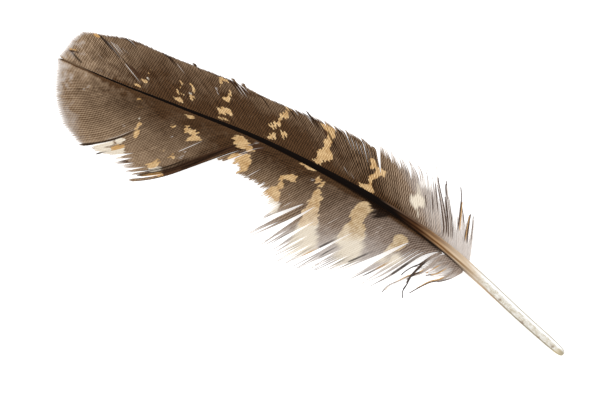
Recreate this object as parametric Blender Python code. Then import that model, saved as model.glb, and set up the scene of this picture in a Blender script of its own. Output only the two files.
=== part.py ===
"""Nightjar flight feather, lying on a flat surface with its upper side up.

The quill end points to +X, the tip of the vane to -X, the narrow leading vane
to +Y and the wide trailing vane to -Y. The surface is at z = 0. The feather
arches: it rests on the underside of its quill and on the margins of both vanes.
"""

import math
import random
from dataclasses import dataclass

import bmesh
import bpy
import numpy as np

# Sizes are stated in millimetres and turned into metres by this factor
MM = 0.001

# Shaft: its centreline seen from above, from the quill end to the tip of the vane
SHAFT_PLAN = (
    (60.5, -3.7),
    (49.4, -1.3),
    (38.1, 1.4),
    (27.3, 3.6),
    (16.7, 4.7),
    (3.2, 5.0),
    (-15.9, 4.2),
    (-33.7, 1.9),
    (-48.1, -0.1),
    (-59.8, -1.3),
)
SHAFT_LENGTH = 121.5

# Shaft: width at stations along it, measured from the quill end
SHAFT_WIDTHS = (
    (0.0, 0.9),
    (0.5, 1.5),
    (1.6, 1.9),
    (4.0, 2.15),
    (14.0, 2.3),
    (28.0, 2.4),
    (36.0, 2.1),
    (46.0, 1.75),
    (60.0, 1.4),
    (77.0, 1.05),
    (95.0, 0.65),
    (110.0, 0.4),
    (121.5, 0.25),
)
DEPTH_TO_WIDTH = 0.92
SHAFT_SIDES = 14
SHAFT_STEP = 2.6
ROUNDED_END = (0.0, 0.5, 1.6)

# Arch: the quill rests on a worn flat, then the shaft rises and comes down at the tip
REST_FROM = 2.6
REST_TO = 15.6
FLAT_CUT = 0.14
LARGEST_CUT_SHARE = 0.4
ARCH_RISE = 2.9
TIP_RISE = 0.15
ARCH_PEAK_SHARPNESS = 1.4

# Vanes: the seam beside the shaft, and the thickness of the web of barbs
SEAM = 0.2
SEAT_HEIGHT = 0.62
ROOT_THICKNESS = 0.42
EDGE_THICKNESS = 0.24
TRAILING_SPAN = 14.5
LEADING_SPAN = 8.6
FALL_SHARPNESS = 1.5

# Vanes: how finely each lock of barbs is modelled
RIBS_PER_LOCK = 3
ZIPPED_STEPS = 4
FREE_STEPS = 4
BEND_AT = 0.5
DEEPEST_PARTING = 0.95
STRAND_TAPER = 0.75
TIP_SEAM = 0.5
SEED = 11

# Directions of the shaft are taken over this distance to either side of a station
DIRECTION_REACH = 0.6

# Edges bent by more than this angle are drawn sharp
SHARP_ANGLE = math.radians(40)


@dataclass(frozen=True)
class Barb:
    """A key barb, given by its root and by where its tip lies as seen from there.

    root: distance along the shaft from the quill end
    lean: how far the tip lies towards the tip of the feather
    reach: how far the tip lies away from the shaft
    leave: angle between the barb and the shaft at the root, in degrees
    """

    root: float
    lean: float
    reach: float
    leave: float


@dataclass(frozen=True)
class Web:
    """A stretch of vane whose barbs hold together, up to a gap before the next web.

    barbs: its key barbs, from the tip of the feather towards the quill
    locks: bundles of barbs that show along its edge
    parted: share of a barb's length at which neighbouring locks part
    ragged: how much the locks differ in length
    opens: distance from the shaft at which the gap to the next web opens
    taper: how late its locks narrow to their points
    lift: how high the tips stand above the surface
    """

    barbs: tuple
    locks: int
    parted: float = 0.94
    ragged: float = 0.02
    opens: float = 1.0
    taper: float = 1.7
    lift: float = 0.0

    def deepest_share(self):
        """Largest share of a barb's length at which two locks may part."""
        return DEEPEST_PARTING - self.ragged


def strand(start, end, lean, reach, leave, opens=0.9, lift=0.0):
    """One loose lock near the quill that is free over nearly all its length."""
    barbs = (Barb(start, lean, reach, leave), Barb(end, lean, reach, leave))
    return Web(barbs, locks=1, opens=opens, taper=STRAND_TAPER, lift=lift)


TRAILING_WEBS = (
    Web(
        (
            Barb(121.3, 1.2, 0.7, 8),
            Barb(117.9, 4.3, 1.6, 16),
            Barb(114.4, 7.5, 3.0, 28),
            Barb(108.9, 12.1, 5.6, 36),
            Barb(102.1, 17.4, 8.8, 40),
            Barb(95.4, 21.5, 12.2, 41),
            Barb(87.7, 23.3, 16.0, 43),
            Barb(83.9, 21.6, 17.0, 43),
            Barb(80.5, 19.4, 17.8, 44),
            Barb(76.4, 17.5, 16.0, 44),
        ),
        locks=14,
        parted=0.93,
        ragged=0.01,
        opens=5.4,
    ),
    Web(
        (
            Barb(76.4, 8.3, 8.3, 46),
            Barb(72.9, 6.9, 9.3, 50),
            Barb(67.5, 8.4, 9.3, 50),
            Barb(64.2, 8.5, 9.4, 50),
            Barb(61.2, 10.4, 11.6, 50),
            Barb(58.2, 9.9, 14.6, 53),
        ),
        locks=9,
        parted=0.78,
        ragged=0.07,
        opens=10.2,
    ),
    strand(58.2, 56.6, 13.2, 19.1, 56, opens=9.2),
    Web(
        (
            Barb(56.6, 9.4, 18.7, 60),
            Barb(53.6, 8.0, 19.1, 63),
            Barb(49.3, 5.5, 17.8, 63),
            Barb(43.1, 6.2, 16.7, 60),
            Barb(37.8, 8.4, 16.1, 51),
        ),
        locks=11,
        parted=0.72,
        ragged=0.05,
        opens=4.6,
    ),
    Web(
        (
            Barb(37.8, 7.2, 16.3, 53),
            Barb(34.1, 7.4, 16.6, 46),
        ),
        locks=2,
        parted=0.6,
        ragged=0.03,
    ),
    strand(34.1, 32.4, 1.0, 13.6, 46, lift=1.8),
    strand(32.4, 30.7, 5.5, 15.5, 62),
    strand(30.7, 29.5, 2.6, 7.5, 70),
    strand(29.5, 28.1, 3.9, 13.9, 72),
    strand(28.1, 26.6, 2.6, 7.3, 74),
)

LEADING_WEBS = (
    Web(
        (
            Barb(121.3, 1.2, 0.5, 8),
            Barb(117.9, 4.4, 1.0, 16),
            Barb(114.4, 7.7, 2.5, 22),
            Barb(110.0, 11.3, 5.1, 29),
            Barb(105.4, 14.5, 7.5, 32),
            Barb(100.4, 15.9, 8.4, 33),
        ),
        locks=7,
        parted=0.93,
        ragged=0.01,
        opens=16.2,
    ),
    Web(
        (
            Barb(100.4, 15.9, 8.4, 33),
            Barb(92.1, 16.0, 9.6, 35),
            Barb(78.7, 15.5, 8.5, 34),
            Barb(64.7, 16.8, 8.0, 33),
            Barb(56.0, 15.9, 8.5, 35),
            Barb(48.6, 14.4, 8.9, 42),
            Barb(45.8, 11.9, 9.6, 48),
        ),
        locks=17,
        parted=0.9,
        ragged=0.03,
        opens=8.2,
    ),
    Web(
        (
            Barb(45.8, 10.4, 10.2, 49),
            Barb(40.1, 10.0, 10.0, 48),
            Barb(36.1, 9.6, 10.3, 50),
            Barb(34.0, 10.4, 11.8, 54),
        ),
        locks=6,
        parted=0.72,
        ragged=0.06,
        opens=2.6,
    ),
    strand(34.0, 32.2, 8.9, 10.9, 55, opens=2.4),
    strand(32.2, 29.6, 8.4, 11.3, 58, opens=2.4),
    strand(29.6, 28.2, 4.9, 8.8, 63, opens=1.8),
    strand(28.2, 26.8, 4.2, 6.9, 64),
)


def clear_scene():
    """Remove every object of the open scene."""
    for item in list(bpy.data.objects):
        bpy.data.objects.remove(item, do_unlink=True)


def smooth_curve(points, steps=24):
    """Catmull-Rom curve through points, sampled steps times between each pair."""
    points = np.array(points, float)
    first = 2 * points[0] - points[1]
    last = 2 * points[-1] - points[-2]
    padded = np.vstack((first, points, last))
    samples = []
    for a, b, c, d in zip(padded, padded[1:], padded[2:], padded[3:]):
        for t in np.arange(steps) / steps:
            bend = 2 * a - 5 * b + 4 * c - d
            twist = 3 * (b - c) + d - a
            samples.append(b + 0.5 * t * (c - a + t * (bend + t * twist)))
    samples.append(points[-1])
    return np.array(samples)


SHAFT_LINE = smooth_curve(SHAFT_PLAN)
SHAFT_STATIONS = np.concatenate(
    ([0.0], np.cumsum(np.hypot(*np.diff(SHAFT_LINE, axis=0).T)))
)


def on_shaft(station):
    """Point of the centreline at a station, and the direction towards the tip there."""
    ends = [station - DIRECTION_REACH, station + DIRECTION_REACH]
    ends = np.clip(ends, 0.0, SHAFT_LENGTH)
    xs = np.interp([station, *ends], SHAFT_STATIONS, SHAFT_LINE[:, 0])
    ys = np.interp([station, *ends], SHAFT_STATIONS, SHAFT_LINE[:, 1])
    along = np.array((xs[2] - xs[1], ys[2] - ys[1]))
    return np.array((xs[0], ys[0])), along / np.linalg.norm(along)


def shaft_width(station):
    """Width of the shaft at a station."""
    stations, widths = zip(*SHAFT_WIDTHS)
    return float(np.interp(station, stations, widths))


def belly_height(station):
    """Height of the underside of the shaft above the surface."""
    t = (station - REST_TO) / (SHAFT_LENGTH - REST_TO)
    if t <= 0.0:
        return 0.0
    arch = math.sin(math.pi * min(t, 1.0)) ** ARCH_PEAK_SHARPNESS
    return ARCH_RISE * arch + TIP_RISE * t


def shaft_ring(station):
    """Points of one cross-section of the shaft, with its underside cut flat."""
    centre, along = on_shaft(station)
    across = np.array((along[1], -along[0]))
    half_width = shaft_width(station) / 2
    half_depth = half_width * DEPTH_TO_WIDTH
    cut = min(FLAT_CUT, LARGEST_CUT_SHARE * half_depth)
    ring = []
    for side in range(SHAFT_SIDES):
        angle = 2 * math.pi * (side + 0.5) / SHAFT_SIDES
        plan = centre + across * half_width * math.cos(angle)
        height = max(0.0, half_depth * (1 + math.sin(angle)) - cut)
        ring.append((plan[0], plan[1], belly_height(station) + height))
    return ring


def make_shaft():
    """Quill and shaft in one piece, lofted through its cross-sections."""
    stations = list(ROUNDED_END)
    count = round((SHAFT_LENGTH - REST_FROM) / SHAFT_STEP)
    stations += list(np.linspace(REST_FROM, SHAFT_LENGTH, count))
    mesh = bmesh.new()
    rings = []
    for station in stations:
        points = np.array(shaft_ring(station)) * MM
        rings.append([mesh.verts.new(point) for point in points])
    for lower, upper in zip(rings, rings[1:]):
        for side in range(SHAFT_SIDES):
            after = (side + 1) % SHAFT_SIDES
            mesh.faces.new((lower[side], lower[after], upper[after], upper[side]))
    mesh.faces.new(rings[0])
    mesh.faces.new(rings[-1])
    finish_object("shaft", mesh, SHAFT_FINISH)


def key_value(web, station, name):
    """Value of one property of the web's barbs at a station, between its key barbs."""
    roots = [barb.root for barb in reversed(web.barbs)]
    values = [getattr(barb, name) for barb in reversed(web.barbs)]
    return float(np.interp(station, roots, values))


def barb_curve(web, station, side):
    """Function that gives the plan point of a barb at a share of its length.

    side is +1 on the leading vane and -1 on the trailing vane.
    """
    centre, along = on_shaft(station)
    outward = side * np.array((along[1], -along[0]))
    root = centre + outward * (shaft_width(station) / 2 + SEAM)
    lean = key_value(web, station, "lean")
    reach = key_value(web, station, "reach")
    tip = centre + along * lean + outward * reach
    leave = math.radians(key_value(web, station, "leave"))
    start = along * math.cos(leave) + outward * math.sin(leave)
    bend = root + start * BEND_AT * np.linalg.norm(tip - root)

    def point(share):
        rest = 1 - share
        return rest * rest * root + 2 * rest * share * bend + share * share * tip

    return point


def barb_length(curve):
    """Length of a barb's curve, measured along a few chords."""
    points = [curve(share) for share in np.linspace(0, 1, 9)]
    return float(np.hypot(*np.diff(points, axis=0).T).sum())


def web_height(point, side):
    """Height of the middle of the web above the surface at a plan point."""
    away = np.hypot(*(SHAFT_LINE - point).T)
    nearest = int(away.argmin())
    station = SHAFT_STATIONS[nearest]
    depth = shaft_width(station) * DEPTH_TO_WIDTH
    seat = belly_height(station) + SEAT_HEIGHT * depth
    span = LEADING_SPAN if side > 0 else TRAILING_SPAN
    share = min(away[nearest] / span, 1.0)
    fall = math.cos(0.5 * math.pi * share) ** FALL_SHARPNESS
    margin = web_thickness(point) / 2
    return margin + max(seat - margin, 0.0) * fall


def web_thickness(point):
    """Thickness of the web at a plan point, thinner towards the margin."""
    away = float(np.hypot(*(SHAFT_LINE - point).T).min())
    share = min(away / LEADING_SPAN, 1.0)
    return ROOT_THICKNESS + (EDGE_THICKNESS - ROOT_THICKNESS) * share


class VaneSheet:
    """The middle surface of one vane, built lock by lock and then thickened."""

    def __init__(self, side):
        self.side = side
        self.mesh = bmesh.new()
        self.corners = {}
        self.dice = random.Random(SEED + side)

    def corner(self, key, point, lift=0.0):
        """The vertex of a key, made at a plan point the first time it is asked for."""
        if key not in self.corners:
            height = web_height(point, self.side) + lift
            self.corners[key] = self.mesh.verts.new((point[0], point[1], height))
        return self.corners[key]

    def add_face(self, corners):
        """Face through corners, of which neighbours may be the same vertex."""
        ring = [c for i, c in enumerate(corners) if c is not corners[i - 1]]
        self.mesh.faces.new(ring)

    def add_lock(self, web, start, end, seams):
        """One lock between two stations, whose seams end at two distances."""
        ribs = np.linspace(start, end, RIBS_PER_LOCK)
        curves = [barb_curve(web, rib, self.side) for rib in ribs]
        lengths = [barb_length(curve) for curve in curves]
        spine = curves[len(curves) // 2]
        depths = np.linspace(seams[0], seams[1], RIBS_PER_LOCK)
        full = 1 - web.ragged * self.dice.random()
        grid = []
        for number, (rib, curve, length) in enumerate(zip(ribs, curves, lengths)):
            parted = min(depths[number] / length, web.deepest_share())
            column = []
            for step in range(ZIPPED_STEPS + 1):
                share = parted * step / ZIPPED_STEPS
                key = ("zipped", round(rib, 3), step)
                column.append(self.corner(key, curve(share), web.lift * share))
            for step in range(1, FREE_STEPS + 1):
                free = step / FREE_STEPS
                share = parted + (full - parted) * free
                narrow = free ** (web.taper * (2 - parted))
                point = curve(share) * (1 - narrow) + spine(share) * narrow
                key = ("free", round(start, 3), step, 0 if step == FREE_STEPS else number)
                column.append(self.corner(key, point, web.lift * share))
            grid.append(column)
        for left, right in zip(grid, grid[1:]):
            for low, high in zip(range(len(left)), range(1, len(left))):
                self.add_face((left[low], left[high], right[high], right[low]))

    def add_web(self, web, seam_before):
        """All locks of a web, whose first seam ends at a distance from the shaft."""
        first = web.barbs[0].root
        last = web.barbs[-1].root
        borders = np.linspace(first, last, web.locks + 1)
        seams = [seam_before]
        for border in borders[1:-1]:
            length = barb_length(barb_curve(web, border, self.side))
            depth = web.parted + self.dice.uniform(-1, 1) * web.ragged
            seams.append(length * min(depth, web.deepest_share()))
        seams.append(web.opens)
        for number in range(web.locks):
            pair = (seams[number], seams[number + 1])
            self.add_lock(web, borders[number], borders[number + 1], pair)

    def thicken(self):
        """Close the sheet: an upper and a lower skin with walls along every border."""
        mesh = self.mesh
        skin = list(mesh.faces)
        borders = [edge for edge in mesh.edges if edge.is_boundary]
        upper = list(mesh.verts)
        lower = {}
        for corner in upper:
            half = web_thickness(np.array(corner.co[:2])) / 2
            twin = mesh.verts.new((corner.co.x, corner.co.y, corner.co.z - half))
            corner.co.z += half
            lower[corner] = twin
        for face in skin:
            mesh.faces.new([lower[corner] for corner in reversed(face.verts)])
        for edge in borders:
            a, b = edge.verts
            mesh.faces.new((a, b, lower[b], lower[a]))


def make_vane(name, webs, side, finish):
    """One vane as a closed solid, from its webs listed from the tip to the quill."""
    sheet = VaneSheet(side)
    seam = TIP_SEAM
    for web in webs:
        sheet.add_web(web, seam)
        seam = web.opens
    sheet.thicken()
    bmesh.ops.scale(sheet.mesh, vec=(MM, MM, MM), verts=sheet.mesh.verts)
    finish_object(name, sheet.mesh, finish)


@dataclass(frozen=True)
class Finish:
    """Colour and surface of one material."""

    name: str
    colour: tuple
    roughness: float
    metallic: float = 0.0


SHAFT_FINISH = Finish("horn", (0.36, 0.25, 0.15, 1.0), 0.35)
LEADING_FINISH = Finish("leading_web", (0.11, 0.075, 0.05, 1.0), 0.7)
TRAILING_FINISH = Finish("trailing_web", (0.14, 0.1, 0.07, 1.0), 0.7)


def make_material(finish):
    """Principled material of a finish."""
    material = bpy.data.materials.new(finish.name)
    material.use_nodes = True
    shader = material.node_tree.nodes["Principled BSDF"]
    shader.inputs["Base Color"].default_value = finish.colour
    shader.inputs["Roughness"].default_value = finish.roughness
    shader.inputs["Metallic"].default_value = finish.metallic
    return material


def finish_object(name, mesh, finish):
    """Turn a closed mesh into a named object with its material."""
    bmesh.ops.recalc_face_normals(mesh, faces=mesh.faces)
    data = bpy.data.meshes.new(name)
    mesh.to_mesh(data)
    mesh.free()
    data.materials.append(make_material(finish))
    data.shade_smooth()
    data.set_sharp_from_angle(angle=SHARP_ANGLE)
    item = bpy.data.objects.new(name, data)
    bpy.context.scene.collection.objects.link(item)


def main():
    """Build the shaft and both vanes."""
    clear_scene()
    make_shaft()
    make_vane("leading_vane", LEADING_WEBS, 1, LEADING_FINISH)
    make_vane("trailing_vane", TRAILING_WEBS, -1, TRAILING_FINISH)


main()
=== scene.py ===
"""Looks of a nightjar's flight feather that lies on a pale surface, seen from above.

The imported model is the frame. Its vanes are replaced by meshes of separate barbs,
and its shaft by a finer mesh, all of them in the same place and of the same size.
The quill points to +X, the tip of the vane to -X, the narrow leading vane to +Y.
Lengths are in millimetres until a mesh is made.
"""

from __future__ import annotations

import logging
import math
from dataclasses import astuple, dataclass
from enum import Enum
from typing import TypeVar

import bpy
import numpy as np
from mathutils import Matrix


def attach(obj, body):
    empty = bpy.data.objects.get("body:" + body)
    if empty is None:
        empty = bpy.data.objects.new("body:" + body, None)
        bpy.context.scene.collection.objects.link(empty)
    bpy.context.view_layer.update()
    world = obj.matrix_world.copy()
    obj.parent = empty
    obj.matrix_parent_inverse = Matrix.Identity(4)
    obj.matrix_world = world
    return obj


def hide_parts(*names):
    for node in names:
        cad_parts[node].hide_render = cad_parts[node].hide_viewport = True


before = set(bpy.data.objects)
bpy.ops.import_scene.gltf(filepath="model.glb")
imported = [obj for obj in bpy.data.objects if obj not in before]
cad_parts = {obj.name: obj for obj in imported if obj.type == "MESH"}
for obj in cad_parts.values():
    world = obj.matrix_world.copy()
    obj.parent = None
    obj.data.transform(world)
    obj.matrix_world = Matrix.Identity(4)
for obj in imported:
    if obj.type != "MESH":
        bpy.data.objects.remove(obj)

LOG = logging.getLogger("feather")
MM = 0.001
BODY = "root"
BAKE_MAP = "OFBake"
# Share of the bake map that holds the loose barbules
LOOSE_BAND = 0.14
Colour = tuple[float, float, float]
Point = tuple[float, float]
Row = TypeVar("Row")


def srgb(red: float, green: float, blue: float) -> Colour:
    """Linear colour of an sRGB colour.

    Args:
        red: red, from 0 to 255.
        green: green.
        blue: blue.

    Returns:
        The three linear values, from 0 to 1.
    """
    values = []
    for value in (red / 255, green / 255, blue / 255):
        low = value <= 0.04045
        values.append(value / 12.92 if low else ((value + 0.055) / 1.055) ** 2.4)
    return (values[0], values[1], values[2])


# Shader maths


class Shade:
    """A socket of a node tree, with arithmetic that adds Math nodes."""

    def __init__(self, paint: Paint, socket: bpy.types.NodeSocket) -> None:
        """Wrap a socket of a paint's node tree."""
        self.paint = paint
        self.socket = socket

    def __add__(self, other: Value) -> Shade:
        """Sum."""
        return self.paint.math("ADD", self, other)

    def __radd__(self, other: Value) -> Shade:
        """Sum with a plain number on the left."""
        return self.paint.math("ADD", other, self)

    def __sub__(self, other: Value) -> Shade:
        """Difference."""
        return self.paint.math("SUBTRACT", self, other)

    def __rsub__(self, other: Value) -> Shade:
        """Difference from a plain number on the left."""
        return self.paint.math("SUBTRACT", other, self)

    def __mul__(self, other: Value) -> Shade:
        """Product."""
        return self.paint.math("MULTIPLY", self, other)

    def __rmul__(self, other: Value) -> Shade:
        """Product with a plain number on the left."""
        return self.paint.math("MULTIPLY", other, self)

    def __abs__(self) -> Shade:
        """Size without its sign."""
        return self.paint.math("ABSOLUTE", self)


Value = Shade | float


class Paint:
    """The node tree of one Principled material."""

    def __init__(self, name: str) -> None:
        """Start a material with a bare Principled shader.

        Args:
            name: the material's name.
        """
        self.material = bpy.data.materials.new(name)
        self.material.use_nodes = True
        self.tree = self.material.node_tree
        self.shader = self.tree.nodes["Principled BSDF"]

    def put(self, socket: bpy.types.NodeSocket, value: Value | Colour) -> None:
        """Link a shade to a socket, or set a plain value on it.

        Args:
            socket: an input of a node.
            value: what it gets.
        """
        if isinstance(value, Shade):
            self.tree.links.new(value.socket, socket)
        elif isinstance(value, tuple) and socket.type == "RGBA":
            socket.default_value = (*value, 1.0)
        else:
            socket.default_value = value

    def node(
        self,
        kind: str,
        settings: dict[str, object] | None = None,
        inputs: dict[str | int, Value | Colour] | None = None,
        output: str | int = 0,
    ) -> Shade:
        """Add any node.

        Args:
            kind: the node's type name.
            settings: properties, set before the sockets.
            inputs: values or links, by socket name or number.
            output: name or number of the socket that is wanted.

        Returns:
            The wanted output socket.
        """
        node = self.tree.nodes.new(kind)
        for name, value in (settings or {}).items():
            setattr(node, name, value)
        for key, value in (inputs or {}).items():
            self.put(node.inputs[key], value)
        return Shade(self, node.outputs[output])

    def math(self, operation: str, *values: Value) -> Shade:
        """Math node with up to three values."""
        inputs = dict(enumerate(values))
        return self.node("ShaderNodeMath", {"operation": operation}, inputs)

    def mix(self, share: Value, first: Shade | Colour, second: Shade | Colour) -> Shade:
        """Blend two colours by a share of the second."""
        settings = {"data_type": "RGBA", "clamp_factor": True}
        return self.node("ShaderNodeMix", settings, {0: share, 6: first, 7: second}, 2)

    def tint(self, colour: Shade | Colour, share: Value, by: Colour) -> Shade:
        """Multiply a colour by another, by a share."""
        settings = {"data_type": "RGBA", "blend_type": "MULTIPLY"}
        return self.node("ShaderNodeMix", settings, {0: share, 6: colour, 7: by}, 2)

    def step(self, value: Value, start: float, end: float) -> Shade:
        """Smooth step from 0 at start to 1 at end."""
        inputs = {"Value": value, "From Min": start, "From Max": end}
        return self.node("ShaderNodeMapRange", {"interpolation_type": "SMOOTHSTEP"}, inputs)

    def point_value(self, name: str) -> Shade:
        """A value that the mesh carries on its points."""
        return self.node("ShaderNodeAttribute", {"attribute_name": name}, None, "Fac")

    def place(self) -> Shade:
        """Position on the object, in millimetres."""
        spot = self.node("ShaderNodeTexCoord", None, None, "Object")
        settings = {"operation": "SCALE"}
        return self.node("ShaderNodeVectorMath", settings, {0: spot, "Scale": 1 / MM})

    def join(self, x: Value, y: Value, z: Value) -> Shade:
        """Vector of three numbers."""
        return self.node("ShaderNodeCombineXYZ", None, {0: x, 1: y, 2: z})

    def noise(self, place: Shade, scale: float, detail: float = 2.0) -> Shade:
        """Noise from about 0 to 1 with a number of waves to the millimetre."""
        inputs = {"Vector": place, "Scale": scale, "Detail": detail}
        return self.node("ShaderNodeTexNoise", None, inputs, "Fac")

    def bump(self, height: Shade, distance: float) -> None:
        """Drive the shader's normal by a height of so many millimetres."""
        inputs = {"Height": height, "Distance": distance * MM, "Strength": 1.0}
        self.finish("Normal", self.node("ShaderNodeBump", None, inputs, "Normal"))

    def finish(self, name: str, value: Value | Colour) -> None:
        """Set or link one input of the Principled shader."""
        self.put(self.shader.inputs[name], value)


# Markings


class Tone(Enum):
    """What a marking does to the brown of the vane."""

    CREAM = "cream"
    BUFF = "buff"
    OCHRE = "ochre"
    BROWN = "brown"
    LIGHT = "light"
    WHITE = "white"
    DARK = "dark"


def away_from(places: np.ndarray, a: np.ndarray, b: np.ndarray) -> tuple[np.ndarray, np.ndarray]:
    """How far places lie from a stretch, and their shares along it.

    Args:
        places: plan points, one a row.
        a: the stretch's start.
        b: the stretch's end.

    Returns:
        Distances and shares, from 0 at the start to 1 at the end.
    """
    way = b - a
    share = np.clip((places - a) @ way / max(float(way @ way), 1e-9), 0, 1)
    return np.linalg.norm(places - a - share[:, None] * way, axis=1), share


@dataclass(frozen=True)
class Streak:
    """A marking along a few points (x, y, half width) on the vane."""

    tone: Tone
    points: tuple[tuple[float, float, float], ...]

    def depth(self, places: np.ndarray) -> np.ndarray:
        """Distances of places to its border.

        Args:
            places: plan points, one a row.

        Returns:
            One distance for each, below 0 outside the marking.
        """
        points = np.array(self.points)
        deepest = np.full(len(places), -9.0)
        for a, b in zip(points, points[1:]):
            away, share = away_from(places, a[:2], b[:2])
            deepest = np.maximum(deepest, a[2] + share * (b[2] - a[2]) - away)
        return deepest


@dataclass(frozen=True)
class Patch:
    """A marking with a closed outline of corners (x, y) on the vane."""

    tone: Tone
    points: tuple[Point, ...]

    def depth(self, places: np.ndarray) -> np.ndarray:
        """Distances of places to its border.

        Args:
            places: plan points, one a row.

        Returns:
            One distance for each, below 0 outside the marking.
        """
        points = np.array(self.points)
        nearest = np.full(len(places), 9.0)
        inside = np.zeros(len(places), bool)
        for a, b in zip(points, np.roll(points, -1, axis=0)):
            nearest = np.minimum(nearest, away_from(places, a, b)[0])
            between = (a[1] > places[:, 1]) != (b[1] > places[:, 1])
            rise = b[1] - a[1] if b[1] != a[1] else 1e-9
            crossing = a[0] + (places[:, 1] - a[1]) / rise * (b[0] - a[0])
            inside ^= between & (places[:, 0] < crossing)
        return np.where(inside, nearest, -nearest)


Mark = Streak | Patch


def marks(tone: Tone, *outlines: tuple[tuple[float, ...], ...]) -> tuple[Mark, ...]:
    """Markings of one tone: streaks where the points have a width, patches elsewhere."""
    return tuple((Streak if len(points[0]) == 3 else Patch)(tone, points) for points in outlines)


@dataclass(frozen=True)
class Line:
    """A marking along a few barbs, such as a shadowed slit or a bare white barb.

    tone: what it does to the web
    station: where the barbs leave the shaft
    start: distance from the root at which it starts
    end: distance from the root at which it ends
    strength: how much of the web's own colour it covers at its outer end
    width: length of the shaft that its barbs take up
    """

    tone: Tone
    station: float
    start: float
    end: float
    strength: float = 0.8
    width: float = 0.5

    def depth(self, root: float, run: np.ndarray, across: np.ndarray) -> np.ndarray:
        """How far points of a barb lie inside the line.

        Args:
            root: the station of the barb's root.
            run: their distances from the root.
            across: where they lie between the ramus, at 0, and the borders.

        Returns:
            Depths that grow outwards along the line, far below 0 outside it.
        """
        inner = np.clip((run - self.start) / (self.end - self.start) / 0.6, 0, 1)
        outer = np.clip((self.end - run) / 0.4, 0, 1)
        depth = 0.3 * (2 * self.strength * inner * outer - 1) - 0.4 * (np.abs(across) > 0.5)
        return depth if abs(root - self.station) < self.width / 2 else np.full(len(run), -9.0)


def lines(tone: Tone, *values: tuple[float, ...]) -> tuple[Line, ...]:
    """Lines of one tone."""
    return tuple(Line(tone, *row) for row in values)


def rows_of(kind: type[Row], *values: tuple[float, ...]) -> tuple[Row, ...]:
    """One object of a kind for each row of values."""
    return tuple(kind(*row) for row in values)


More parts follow.
